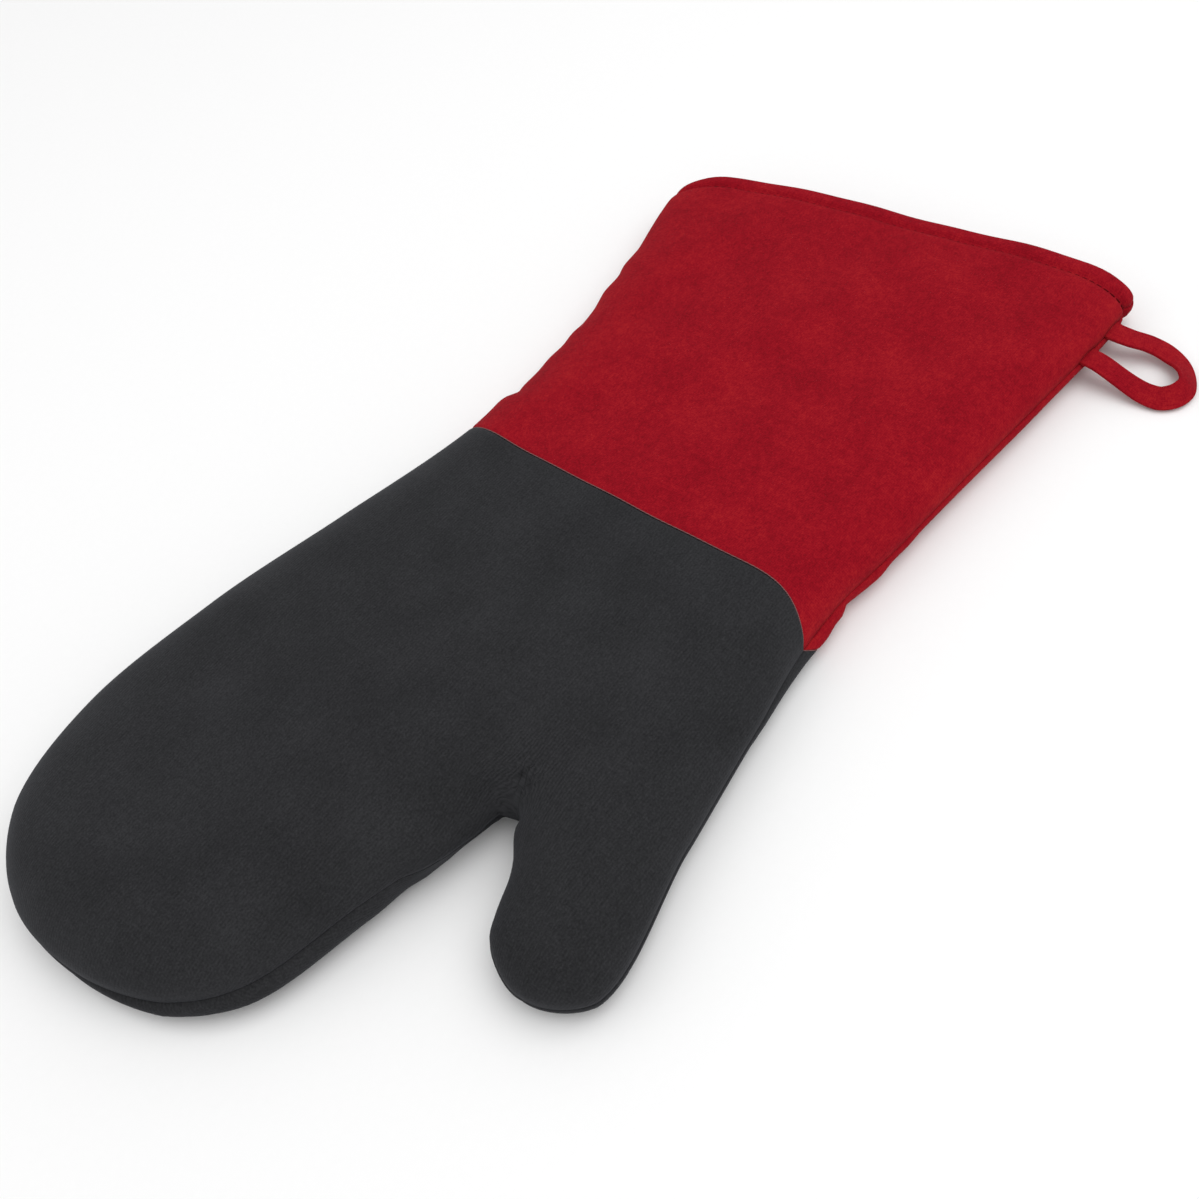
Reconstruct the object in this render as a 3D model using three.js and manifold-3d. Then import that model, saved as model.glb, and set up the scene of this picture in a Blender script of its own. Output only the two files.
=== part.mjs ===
// A long oven mitt lying flat: a padded hand with one lobe for the fingers and one for the thumb,
// a long flared cuff, and a hanging loop that swings at the cuff's side seam.
// Millimetres, +Z up. Every layer is laid out around the middle of the join seam, with the
// fingertips towards -X, the opening towards +X, the thumb towards -Y and the underside at z = 0.
// The finished group is then moved so that its origin is under the middle of the mitt.

import * as THREE from 'three';
import { mergeVertices } from 'three/addons/utils/BufferGeometryUtils.js';
import Module from 'manifold-3d';

// Overall sizes, in plan.
const CUFF_LENGTH = 194;      // join seam to opening
const HAND_LENGTH = 240;      // join seam to fingertip
const OPENING_WIDTH = 203;
const WRIST_WIDTH = 173;      // along the join seam
const LOBE_WIDTH = 144;
const LOBE_CENTRE = 47.5;     // the lobe's centre line lies this far towards the little finger
const THUMB_REACH = 163;      // join seam to the tip of the thumb
const THUMB_WIDTH = 48;
const THUMB_CENTRE = -77;
const NOTCH_REACH = 119;      // join seam to the notch between thumb and lobe
const NOTCH_CENTRE = -44;
const NOTCH_HALF_WIDTH = 8;   // half the notch's width, measured NOTCH_DEPTH out from its bottom
const NOTCH_DEPTH = 12;
const JOIN_SLANT = 10;        // the join seam runs this far either side of square
const OPENING_SLANT = 8;
const OPENING_BOW = 1;         // how far the opening's middle stands out beyond its corners
const JOIN_LEVEL = 2;         // the join seam's middle stretch lies this far towards the opening

// Heights of the sewn edge above the surface that the mitt lies on.
const CUFF_SEAM_HEIGHT = 10;
const LOBE_SEAM_HEIGHT = 16;
const TIP_SEAM_HEIGHT = 9;
const THUMB_SEAM_HEIGHT = 9;

// Heights of the upper side at its fullest.
const OPENING_CROWN = 23;
const WRIST_CROWN = 28;
const LOBE_CROWN = 33;
const TIP_CROWN = 29;
const THUMB_CROWN = 26;
const UPPER_ROUND = 28;       // how far in from the sewn edge the roundness reaches
const LOWER_ROUND = 14;

// Thickness of each layer, in the hand and in the cuff.
const HAND_SHELL = 2.5;
const CUFF_PANEL = 1.2;
const HAND_WADDING = 3.5;
const CUFF_WADDING = 2.5;
const LINING = 1;
const GAP = 0.3;              // clearance between neighbouring layers
const SEAM_CHANNEL = 2.6;     // room beside the shell's sewn edge for its thread
const TAPER = 0.16;           // share of the cuff's length where the hand's thicker layers thin out

// Threads, hem and join seam.
const THREAD_RADIUS = 0.4;
const STITCH_RADIUS = 0.3;
const HEM_STITCH_LINE = 8.5;  // opening to the hem's row of stitches
const HEM_DEPTH = 12.5;       // how far the cuff's cloth is turned in
const HEM_DIP = 1.1;          // how deep the stitches pull the cloth in
const DIP_REACH = 3;          // the dip fades out this far either side of the stitches
const JOIN_GAP = 1.2;         // between shell and cuff cloth, with the join's thread in it
const JOIN_THREAD_DEPTH = 0.7;

// Hanging loop.
const LOOP_FROM_OPENING = 26; // opening to the loop's middle, along the side seam
const LOOP_SPACING = 18;      // between the middles of its two ends
const LOOP_REACH = 38;
const LOOP_TAPE_WIDTH = 8;
const LOOP_TAPE_THICKNESS = 2.2;
const LOOP_TWIST = 0.8;       // radians that the tape leans over at its far end
const LOOP_LIFT = 0.2;        // lowest point of the loop above the surface
const LOOP_HINGE_GAP = 0.5;   // between the side seam and the rounded end of the tape
const LOOP_HINGE_OUT = LOOP_TAPE_THICKNESS / 2 + LOOP_HINGE_GAP; // side seam to the line it swings about
const LOOP_END_DEPTH = CUFF_PANEL + SEAM_CHANNEL - GAP; // how far each end runs in past the side seam
const LOOP_SIDE_LEAN = 2;     // how far the loop leans towards the hand
const LOOP_SPREAD = 5;        // how far each side of the loop bows out past its end
const LOOP_STRAIGHT = 3;      // straight stretch of tape beside the line that it swings about

// How finely the layers are divided.
const CUFF_ROWS = 6;
const PALM_ROWS = 5;
const LOBE_ROWS = 9;
const THUMB_ROWS = 7;
const THUMB_COLUMNS = 6;
const LOBE_COLUMNS = 9;
const OUTLINE_STEPS = 16;     // samples between two outline points when a distance is measured
const NOTCH_SHARE = 0.36;     // share of the width where the thumb's strip meets the lobe's
const LOOP_STEPS = 26;
const ROUNDED_END = [70, 35]; // degrees round the loop's end at which its section is drawn

const { lerp, smoothstep, clamp } = THREE.MathUtils;

// ---- Outline -------------------------------------------------------------------------------

const lobeHalf = LOBE_WIDTH / 2;
const wristHalf = WRIST_WIDTH / 2;
const openingHalf = OPENING_WIDTH / 2;
const thumbHalf = THUMB_WIDTH / 2;

// The sewn edge, from the opening's little finger corner round the fingertips, the notch and the
// thumb to the opening's thumb corner. Each point is x, y and the height of the seam.
const OUTLINE = {
  openingFinger: [CUFF_LENGTH - OPENING_SLANT, openingHalf, CUFF_SEAM_HEIGHT],
  cuffFingerOuter: [CUFF_LENGTH * 0.7, lerp(wristHalf, openingHalf, 0.36), CUFF_SEAM_HEIGHT],
  cuffFingerInner: [CUFF_LENGTH * 0.35, wristHalf - 3, CUFF_SEAM_HEIGHT],
  joinFinger: [JOIN_SLANT, wristHalf, CUFF_SEAM_HEIGHT],
  palmFinger: [-NOTCH_REACH * 0.42, LOBE_CENTRE + lobeHalf * 0.69, CUFF_SEAM_HEIGHT + 2],
  lobeStartFinger: [-NOTCH_REACH * 0.92, LOBE_CENTRE + lobeHalf * 0.88, CUFF_SEAM_HEIGHT + 3],
  lobeWidest: [-HAND_LENGTH * 0.7, LOBE_CENTRE + lobeHalf, CUFF_SEAM_HEIGHT + 2],
  lobeShoulder: [-HAND_LENGTH * 0.88, LOBE_CENTRE + lobeHalf * 0.87, TIP_SEAM_HEIGHT + 2],
  lobeTurn: [-HAND_LENGTH * 0.985, LOBE_CENTRE + lobeHalf * 0.5, TIP_SEAM_HEIGHT],
  fingertip: [-HAND_LENGTH, LOBE_CENTRE, TIP_SEAM_HEIGHT],
  lobeInnerTurn: [-HAND_LENGTH * 0.95, LOBE_CENTRE - lobeHalf * 0.49, TIP_SEAM_HEIGHT + 1],
  lobeInnerShoulder: [-HAND_LENGTH * 0.87, LOBE_CENTRE - lobeHalf * 0.79, TIP_SEAM_HEIGHT + 4],
  lobeInnerSide: [-HAND_LENGTH * 0.69, LOBE_CENTRE - lobeHalf, LOBE_SEAM_HEIGHT],
  notchLobeSide: [-NOTCH_REACH - NOTCH_DEPTH, NOTCH_CENTRE + NOTCH_HALF_WIDTH, LOBE_SEAM_HEIGHT - 3],
  notch: [-NOTCH_REACH, NOTCH_CENTRE, CUFF_SEAM_HEIGHT + 1],
  notchThumbSide: [-NOTCH_REACH - NOTCH_DEPTH, NOTCH_CENTRE - NOTCH_HALF_WIDTH, CUFF_SEAM_HEIGHT],
  thumbInner: [-THUMB_REACH + 10, THUMB_CENTRE + thumbHalf * 0.62, THUMB_SEAM_HEIGHT],
  thumbTip: [-THUMB_REACH, THUMB_CENTRE - 5, THUMB_SEAM_HEIGHT],
  thumbOuter: [-THUMB_REACH + 14, THUMB_CENTRE - thumbHalf, THUMB_SEAM_HEIGHT],
  thumbStart: [-NOTCH_REACH * 0.8, THUMB_CENTRE - thumbHalf + 5, THUMB_SEAM_HEIGHT],
  palmThumb: [-NOTCH_REACH * 0.42, -wristHalf - 4, CUFF_SEAM_HEIGHT],
  joinThumb: [-JOIN_SLANT, -wristHalf, CUFF_SEAM_HEIGHT],
  cuffThumbInner: [CUFF_LENGTH * 0.3, lerp(-wristHalf, -openingHalf, 0.2), CUFF_SEAM_HEIGHT],
  cuffThumbOuter: [CUFF_LENGTH * 0.65, lerp(-wristHalf, -openingHalf, 0.68), CUFF_SEAM_HEIGHT],
  openingThumb: [CUFF_LENGTH + OPENING_SLANT, -openingHalf - 1.5, CUFF_SEAM_HEIGHT],
};
const outlineNames = Object.keys(OUTLINE);
const outlineSpans = outlineNames.length - 1;
const outlinePoints = Object.values(OUTLINE).map((point) => new THREE.Vector3(...point));
const outline = new THREE.CatmullRomCurve3(outlinePoints, false, 'centripetal');
outline.arcLengthDivisions = outlineSpans * OUTLINE_STEPS;
const outlineLengths = outline.getLengths();
const outlineTotal = outlineLengths.at(-1);
const outlineSamples = outline.getPoints(outlineSpans * OUTLINE_STEPS);

/** Share of the outline's length at a named point. */
function shareAt(name) {
  return outlineLengths[outlineNames.indexOf(name) * OUTLINE_STEPS] / outlineTotal;
}

/** The stretch of the sewn edge between two named points, as a function of 0 to 1 and an inset. */
function rail(fromName, toName) {
  const from = shareAt(fromName);
  const to = shareAt(toName);
  return (u, inset) => {
    const share = lerp(from, to, u);
    const point = outline.getPointAt(share);
    const along = outline.getTangentAt(share);
    const inward = new THREE.Vector2(-along.y, along.x).normalize();
    return new THREE.Vector3(point.x + inward.x * inset, point.y + inward.y * inset, point.z);
  };
}

const rails = {
  cuffFinger: rail('openingFinger', 'joinFinger'),
  cuffThumb: rail('openingThumb', 'joinThumb'),
  palmFinger: rail('joinFinger', 'lobeStartFinger'),
  palmThumb: rail('joinThumb', 'thumbStart'),
  lobeFinger: rail('lobeStartFinger', 'fingertip'),
  lobeInner: rail('notch', 'fingertip'),
  thumbInner: rail('notch', 'thumbTip'),
  thumbOuter: rail('thumbStart', 'thumbTip'),
};

/** Distance in plan from a point to the sewn edge. */
function distanceToEdge(x, y) {
  let nearest = Infinity;
  for (let i = 1; i < outlineSamples.length; i += 1) {
    const a = outlineSamples[i - 1];
    const b = outlineSamples[i];
    const runX = b.x - a.x;
    const runY = b.y - a.y;
    const along = clamp(((x - a.x) * runX + (y - a.y) * runY) / (runX * runX + runY * runY), 0, 1);
    nearest = Math.min(nearest, Math.hypot(x - a.x - runX * along, y - a.y - runY * along));
  }
  return nearest;
}

// ---- Rows of points, in plan ---------------------------------------------------------------

/** Shares from 0 to 1, closer together at both ends. */
function crowdedShares(count) {
  return Array.from({ length: count + 1 }, (_, i) => (1 - Math.cos((Math.PI * i) / count)) / 2);
}

const thumbShares = crowdedShares(THUMB_COLUMNS);
const lobeShares = crowdedShares(LOBE_COLUMNS);
const fullShares = [
  ...thumbShares.map((share) => share * NOTCH_SHARE),
  ...lobeShares.slice(1).map((share) => lerp(NOTCH_SHARE, 1, share)),
];

/** Crown height where the palm divides into thumb and lobe. */
function dividedCrown(across) {
  return lerp(THUMB_CROWN, LOBE_CROWN, smoothstep(across, 0.1, 0.7));
}

/** Points between two rails; the first and last lie on the sewn edge unless an end is open. */
function rowBetween(start, end, shares, crownAt, startOnEdge = true, endOnEdge = true) {
  return shares.map((share, i) => ({
    x: lerp(start.x, end.x, share),
    y: lerp(start.y, end.y, share),
    seam: lerp(start.z, end.z, share),
    crown: crownAt(share),
    onEdge: (i === 0 && startOnEdge) || (i === shares.length - 1 && endOnEdge),
  }));
}

/** A row across the cuff, inset along its own line; u runs from the opening to the join seam. */
function cuffRow(u, inset) {
  const crown = lerp(OPENING_CROWN, WRIST_CROWN, u);
  const thumbEdge = rails.cuffThumb(u, 0);
  const fingerEdge = rails.cuffFinger(u, 0);
  const insetShare = inset / thumbEdge.distanceTo(fingerEdge);
  const start = thumbEdge.clone().lerp(fingerEdge, insetShare);
  const end = fingerEdge.clone().lerp(thumbEdge, insetShare);
  const row = rowBetween(start, end, fullShares, () => crown);
  return shifted(row, (across) => lerp(OPENING_BOW * 4 * across * (1 - across), joinShift(across), u));
}

/** How far the join seam lies from a straight line between its two ends. */
function joinShift(across) {
  const fingerEnd = (JOIN_SLANT - JOIN_LEVEL) * across ** 4;
  const thumbEnd = (JOIN_SLANT + JOIN_LEVEL) * (1 - across) ** 6;
  return JOIN_LEVEL + fingerEnd - thumbEnd - lerp(-JOIN_SLANT, JOIN_SLANT, across);
}

/** The same row with each point moved towards the opening by a function of its share. */
function shifted(row, shiftAt) {
  return row.map((point, i) => ({ ...point, x: point.x + shiftAt(fullShares[i]) }));
}

/** A row across the palm; u runs from the join seam to the notch. */
function palmRow(u, inset) {
  const thumbSide = rails.palmThumb(u, inset);
  const fingerSide = rails.palmFinger(u, inset);
  const joinMiddle = rails.palmThumb(0, inset).lerp(rails.palmFinger(0, inset), NOTCH_SHARE);
  const middle = joinMiddle.lerp(rails.lobeInner(0, inset), u);
  const crownAt = (across) => lerp(WRIST_CROWN, dividedCrown(across), smoothstep(u, 0, 1));
  const thumbPart = rowBetween(thumbSide, middle, thumbShares,
    (share) => crownAt(share * NOTCH_SHARE), true, u === 1);
  const lobePart = rowBetween(middle, fingerSide, lobeShares,
    (share) => crownAt(lerp(NOTCH_SHARE, 1, share)), false, true);
  return shifted([...thumbPart, ...lobePart.slice(1)], (across) => joinShift(across) * (1 - u) ** 2);
}

/** A row across the finger lobe; u runs from the notch to the fingertip. */
function lobeRow(u, inset) {
  return rowBetween(rails.lobeInner(u, inset), rails.lobeFinger(u, inset), lobeShares,
    (share) => lerp(dividedCrown(lerp(NOTCH_SHARE, 1, share)), TIP_CROWN, u));
}

/** A row across the thumb; u runs from the notch to the thumb's tip. */
function thumbRow(u, inset) {
  return rowBetween(rails.thumbOuter(u, inset), rails.thumbInner(u, inset), thumbShares,
    (share) => lerp(dividedCrown(share * NOTCH_SHARE), THUMB_CROWN, u));
}

// ---- Layers --------------------------------------------------------------------------------

/** How far the hem's stitches pull the layers in, at a distance from the opening. */
function hemDip(fromOpening) {
  return HEM_DIP * Math.max(0, 1 - Math.abs(fromOpening - HEM_STITCH_LINE) / DIP_REACH);
}

// Each layer's inset from the outer surface, sideways and in height, in the hand or the cuff.
const layerInsets = {
  shellOuter: () => ({ side: 0, height: 0 }),
  shellInner: (shell) => ({ side: shell, height: shell }),
  waddingOuter: (shell) => ({ side: shell + SEAM_CHANNEL, height: shell + GAP }),
  waddingInner: (shell, wadding) => deeper(layerInsets.waddingOuter(shell), wadding),
  liningOuter: (shell, wadding) => deeper(layerInsets.waddingInner(shell, wadding), GAP),
  liningInner: (shell, wadding) => deeper(layerInsets.liningOuter(shell, wadding), LINING),
  hemOuter: (shell, wadding) => deeper(layerInsets.liningInner(shell, wadding), GAP),
  hemInner: (shell, wadding) => deeper(layerInsets.hemOuter(shell, wadding), shell),
};

function deeper(inset, depth) {
  return { side: inset.side + depth, height: inset.height + depth };
}

/** Inset of a layer in the hand. */
function handInset(layer) {
  return layerInsets[layer](HAND_SHELL, HAND_WADDING);
}

/** Inset of a layer in the cuff at u; the wadding's outer side tapers from the hand's inset. */
function cuffInset(layer, u) {
  const own = layerInsets[layer](CUFF_PANEL, CUFF_WADDING);
  const isPanel = layer.startsWith('shell') || layer.startsWith('hem');
  const handShare = isPanel ? 0 : smoothstep(u, 1 - TAPER, 1);
  const hand = handInset(layer);
  const dip = hemDip(u * CUFF_LENGTH);
  return {
    side: lerp(own.side, hand.side, handShare) + dip,
    height: lerp(own.height, hand.height, handShare) + dip,
  };
}

/** Places a plan row on the upper or the lower side of the mitt at a layer's depth. */
function lift(row, inset, isTop) {
  return row.map((point) => {
    const depth = point.onEdge ? 0 : Math.max(distanceToEdge(point.x, point.y) - inset.side, 0);
    const round = (isTop ? UPPER_ROUND : LOWER_ROUND) - inset.height;
    const roundness = Math.sqrt(1 - (1 - Math.min(depth / round, 1)) ** 2);
    const rim = GAP / 2;
    const topRise = (point.crown - point.seam - inset.height - rim) * roundness;
    const bottomDrop = (point.seam - inset.height - rim) * roundness;
    const z = isTop ? point.seam + rim + topRise : point.seam - rim - bottomDrop;
    return new THREE.Vector3(point.x, point.y, z);
  });
}

const liftedCuffRow = (layer, u, isTop) => {
  const inset = cuffInset(layer, u);
  return lift(cuffRow(u, inset.side), inset, isTop);
};

const liftedHandRow = (layer, makeRow, u, isTop) => {
  const inset = handInset(layer);
  return lift(makeRow(u, inset.side), inset, isTop);
};

/** Shares of the cuff's length for its rows, crowded at the hem's stitches. */
function cuffStations(start, end) {
  const hem = [HEM_STITCH_LINE - DIP_REACH, HEM_STITCH_LINE, HEM_STITCH_LINE + DIP_REACH];
  const hemEnd = hem[2] / CUFF_LENGTH;
  const body = Array.from({ length: CUFF_ROWS }, (_, i) => lerp(hemEnd, 1, (i + 1) / CUFF_ROWS));
  body[CUFF_ROWS - 1] = end;
  return [start, ...hem.map((distance) => distance / CUFF_LENGTH), ...body];
}

/** One layer of the hand: rows of points, and the faces between them. */
function handSheet(sheet, layer, isTop, palmStart, firstRow) {
  let row = firstRow ?? addRow(sheet, liftedHandRow(layer, palmRow, palmStart, isTop));
  for (let i = 1; i <= PALM_ROWS; i += 1) {
    const u = lerp(palmStart, 1, i / PALM_ROWS);
    row = addStrip(sheet, row, liftedHandRow(layer, palmRow, u, isTop));
  }
  addLobe(sheet, row.slice(THUMB_COLUMNS), layer, lobeRow, LOBE_ROWS, isTop);
  addLobe(sheet, row.slice(0, THUMB_COLUMNS + 1), layer, thumbRow, THUMB_ROWS, isTop);
}

/** Rows from a starting row to a closed tip. */
function addLobe(sheet, startRow, layer, makeRow, rows, isTop) {
  let row = startRow;
  for (let i = 1; i < rows; i += 1) {
    row = addStrip(sheet, row, liftedHandRow(layer, makeRow, i / rows, isTop));
  }
  const [tip] = addRow(sheet, [liftedHandRow(layer, makeRow, 1, isTop)[0]]);
  for (let i = 1; i < row.length; i += 1) sheet.faces.push([row[i - 1], row[i], tip]);
}

function addRow(sheet, points) {
  return points.map((point) => sheet.points.push(point) - 1);
}

/** Adds a row and the faces that join it to the row before. */
function addStrip(sheet, before, points) {
  const row = addRow(sheet, points);
  for (let i = 1; i < row.length; i += 1) {
    sheet.faces.push([before[i - 1], before[i], row[i]], [before[i - 1], row[i], row[i - 1]]);
  }
  return row;
}

const newSheet = () => ({ points: [], faces: [] });

/** A layer that runs the whole length of the mitt, starting a little inside the turned hem. */
function fullSheet(layer, isTop) {
  const sheet = newSheet();
  const start = (CUFF_PANEL + 2 * GAP) / CUFF_LENGTH;
  let row = null;
  for (const u of cuffStations(start, 1)) {
    const points = liftedCuffRow(layer, u, isTop);
    row = row ? addStrip(sheet, row, points) : addRow(sheet, points);
  }
  handSheet(sheet, layer, isTop, 0, row);
  return sheet;
}

function shellSheet(layer, isTop) {
  const sheet = newSheet();
  handSheet(sheet, layer, isTop, JOIN_GAP / 2 / NOTCH_REACH);
  return sheet;
}

/** One side of the cuff's cloth: the panel from the join to the opening, then the turned hem. */
function cuffSheet(panelLayer, hemLayer, isTop, openingInset) {
  const sheet = newSheet();
  const end = 1 - JOIN_GAP / 2 / CUFF_LENGTH;
  const stations = cuffStations(openingInset / CUFF_LENGTH, end);
  const hemStations = [...stations.slice(0, 4), HEM_DEPTH / CUFF_LENGTH];
  const rows = [
    ...stations.reverse().map((u) => liftedCuffRow(panelLayer, u, isTop)),
    ...hemStations.map((u) => liftedCuffRow(hemLayer, u, isTop)),
  ];
  let row = addRow(sheet, rows[0]);
  rows.slice(1).forEach((points) => {
    row = addStrip(sheet, row, points);
  });
  return sheet;
}

/** A closed solid between two sheets that have the same faces. */
function slab(outer, inner, flip) {
  const offset = outer.points.length;
  const edges = new Map();
  for (const face of outer.faces) {
    face.forEach((a, i) => edges.set(`${a},${face[(i + 1) % 3]}`, [a, face[(i + 1) % 3]]));
  }
  const rim = [...edges.values()].filter(([a, b]) => !edges.has(`${b},${a}`));
  const faces = [
    ...outer.faces,
    ...inner.faces.map(([a, b, c]) => [offset + a, offset + c, offset + b]),
    ...rim.flatMap(([a, b]) => [[b, a, offset + a], [b, offset + a, offset + b]]),
  ];
  const turned = flip ? faces.map(([a, b, c]) => [a, c, b]) : faces;
  return geometryFrom([...outer.points, ...inner.points], turned);
}

function geometryFrom(points, faces) {
  const geometry = new THREE.BufferGeometry();
  const positions = points.flatMap((point) => [point.x, point.y, point.z]);
  geometry.setAttribute('position', new THREE.Float32BufferAttribute(positions, 3));
  geometry.setIndex(faces.flat());
  geometry.computeVertexNormals();
  return geometry;
}

const fullLayer = (name, isTop) =>
  slab(fullSheet(`${name}Outer`, isTop), fullSheet(`${name}Inner`, isTop), !isTop);

const handShell = (isTop) =>
  slab(shellSheet('shellOuter', isTop), shellSheet('shellInner', isTop), !isTop);

const cuffPanel = (isTop) => slab(
  cuffSheet('shellOuter', 'hemInner', isTop, 0),
  cuffSheet('shellInner', 'hemOuter', isTop, CUFF_PANEL + GAP),
  isTop,
);

// ---- Threads -------------------------------------------------------------------------------

/** A round thread through a list of points, closed at both ends. */
function thread(points, radius, sides = 6) {
  const rings = points.map((point, i) => {
    const before = points[Math.max(i - 1, 0)];
    const after = points[Math.min(i + 1, points.length - 1)];
    const along = after.clone().sub(before).normalize();
    const sideways = new THREE.Vector3(-along.y, along.x, 0);
    if (sideways.length() < 0.2) sideways.set(1, 0, 0);
    sideways.addScaledVector(along, -sideways.dot(along)).normalize();
    const upward = along.clone().cross(sideways);
    return ringAround(point, sideways, upward, radius, radius, sides);
  });
  return sweep(rings);
}

/** Corners of a section around a point, on an ellipse of two half sizes. */
function ringAround(point, sideways, upward, halfWidth, halfHeight, sides) {
  return Array.from({ length: sides }, (_, i) => {
    const angle = (2 * Math.PI * (i + 0.5)) / sides;
    return point.clone()
      .addScaledVector(sideways, halfWidth * Math.cos(angle))
      .addScaledVector(upward, halfHeight * Math.sin(angle));
  });
}

/** A closed solid through a list of rings that all have the same number of corners. */
function sweep(rings) {
  const sides = rings[0].length;
  const faces = [];
  for (let r = 1; r < rings.length; r += 1) {
    for (let i = 0; i < sides; i += 1) {
      const next = (i + 1) % sides;
      const [a, b] = [(r - 1) * sides + i, (r - 1) * sides + next];
      const [c, d] = [r * sides + i, r * sides + next];
      faces.push([a, b, d], [a, d, c]);
    }
  }
  const last = (rings.length - 1) * sides;
  for (let i = 1; i < sides - 1; i += 1) faces.push([0, i + 1, i], [last, last + i, last + i + 1]);
  return geometryFrom(rings.flat(), faces);
}

const handSeamInset = HAND_SHELL + GAP + THREAD_RADIUS;
const cuffSeamInset = CUFF_PANEL + GAP + THREAD_RADIUS;

/** The thread that sews the two hand shells together, round fingers, notch and thumb. */
function handSeamThread() {
  const start = JOIN_GAP / 2 / NOTCH_REACH;
  const shares = (rows, from = 0) => Array.from({ length: rows + 1 }, (_, i) => lerp(from, 1, i / rows));
  const follow = (name, list) => list.map((u) => rails[name](u, handSeamInset));
  return thread([
    ...follow('palmFinger', shares(PALM_ROWS, start)),
    ...follow('lobeFinger', shares(LOBE_ROWS)).slice(1),
    ...follow('lobeInner', shares(LOBE_ROWS)).reverse().slice(1),
    ...follow('thumbInner', shares(THUMB_ROWS)).slice(1),
    ...follow('thumbOuter', shares(THUMB_ROWS)).reverse().slice(1),
    ...follow('palmThumb', shares(PALM_ROWS, start)).reverse().slice(1),
  ], THREAD_RADIUS);
}

/** The thread down one of the cuff's side seams, clear of the turned hem. */
function cuffSeamThread(isThumbSide) {
  const start = (CUFF_PANEL + 2 * GAP) / CUFF_LENGTH;
  const end = 1 - JOIN_GAP / 2 / CUFF_LENGTH;
  const points = cuffStations(start, end).map((u) => {
    const row = cuffRow(u, cuffSeamInset + hemDip(u * CUFF_LENGTH));
    const edge = row.at(isThumbSide ? 0 : -1);
    return new THREE.Vector3(edge.x, edge.y, edge.seam);
  });
  return thread(points, THREAD_RADIUS);
}

/** A thread right round the cuff, from one side of the thumb's seam back to the other. */
function ringThread(makeRow, inset, radius) {
  const top = lift(makeRow(inset), inset, true);
  const bottom = lift(makeRow(inset), inset, false).reverse();
  return thread([...top, ...bottom], radius);
}

const hemStitches = () => {
  const depth = HEM_DIP - GAP - STITCH_RADIUS;
  const inset = { side: depth, height: depth };
  return ringThread(({ side }) => cuffRow(HEM_STITCH_LINE / CUFF_LENGTH, side), inset, STITCH_RADIUS);
};

const joinThread = () => {
  const inset = { side: JOIN_THREAD_DEPTH, height: JOIN_THREAD_DEPTH };
  return ringThread(({ side }) => cuffRow(1, side), inset, STITCH_RADIUS);
};

// ---- Hanging loop --------------------------------------------------------------------------

const loopShare = LOOP_FROM_OPENING / CUFF_LENGTH;
const loopSeat = rails.cuffThumb(loopShare, 0);
const loopInner = rails.cuffThumb(loopShare, 1);
const loopOutward = loopSeat.clone().sub(loopInner).setZ(0).normalize();
const loopAlong = new THREE.Vector3(-loopOutward.y, loopOutward.x, 0);
const tapeHalf = LOOP_TAPE_THICKNESS / 2;

/** A point beside the loop's seat: along the seam, out from it, and up. */
function besideSeat(along, out, up) {
  return loopSeat.clone()
    .addScaledVector(loopAlong, along)
    .addScaledVector(loopOutward, out)
    .add(new THREE.Vector3(0, 0, up));
}

/** The tape's centre line, sloping down until its far end nearly touches the surface. */
function loopPath() {
  const half = LOOP_SPACING / 2;
  const wide = half + LOOP_SPREAD;
  const lean = LOOP_SIDE_LEAN;
  const plan = [
    [half, LOOP_HINGE_OUT],
    [half, LOOP_HINGE_OUT + LOOP_STRAIGHT],
    [wide - 1, LOOP_REACH * 0.36],
    [wide - lean, LOOP_REACH * 0.64],
    [half - lean * 1.5, LOOP_REACH * 0.88],
    [-lean, LOOP_REACH * 0.97],
    [-half - lean, LOOP_REACH * 0.86],
    [-wide - lean, LOOP_REACH * 0.62],
    [-wide, LOOP_REACH * 0.36],
    [-half, LOOP_HINGE_OUT + LOOP_STRAIGHT],
    [-half, LOOP_HINGE_OUT],
  ];
  const tipHalf = (LOOP_TAPE_WIDTH / 2) * Math.sin(LOOP_TWIST) + tapeHalf * Math.cos(LOOP_TWIST);
  const slope = (loopSeat.z - tipHalf - LOOP_LIFT) / (LOOP_REACH * 0.97 - LOOP_HINGE_OUT);
  const points = plan.map(([along, out]) => besideSeat(along, out, -slope * (out - LOOP_HINGE_OUT)));
  return new THREE.CatmullRomCurve3(points, false, 'centripetal');
}

/** The tape: flat at its ends, leaning over at its far end, with rounded ends at the hinge. */
function hangingLoop() {
  const path = loopPath();
  const rings = [];
  for (let i = 0; i <= LOOP_STEPS; i += 1) {
    const u = i / LOOP_STEPS;
    const along = path.getTangentAt(u);
    const across = new THREE.Vector3(along.y, -along.x, 0).normalize();
    const up = along.clone().cross(across).normalize();
    const lean = LOOP_TWIST * Math.sin(Math.PI * u) ** 2;
    const wide = across.clone().multiplyScalar(Math.cos(lean)).addScaledVector(up, Math.sin(lean));
    const thick = along.clone().cross(wide).normalize();
    rings.push(tapeRing(path.getPointAt(u), wide, thick, 1));
  }
  const ends = [0, 1].map((u) => roundedEnd(path, u));
  return sweep([...ends[0], ...rings, ...ends[1].reverse()]);
}

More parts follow.
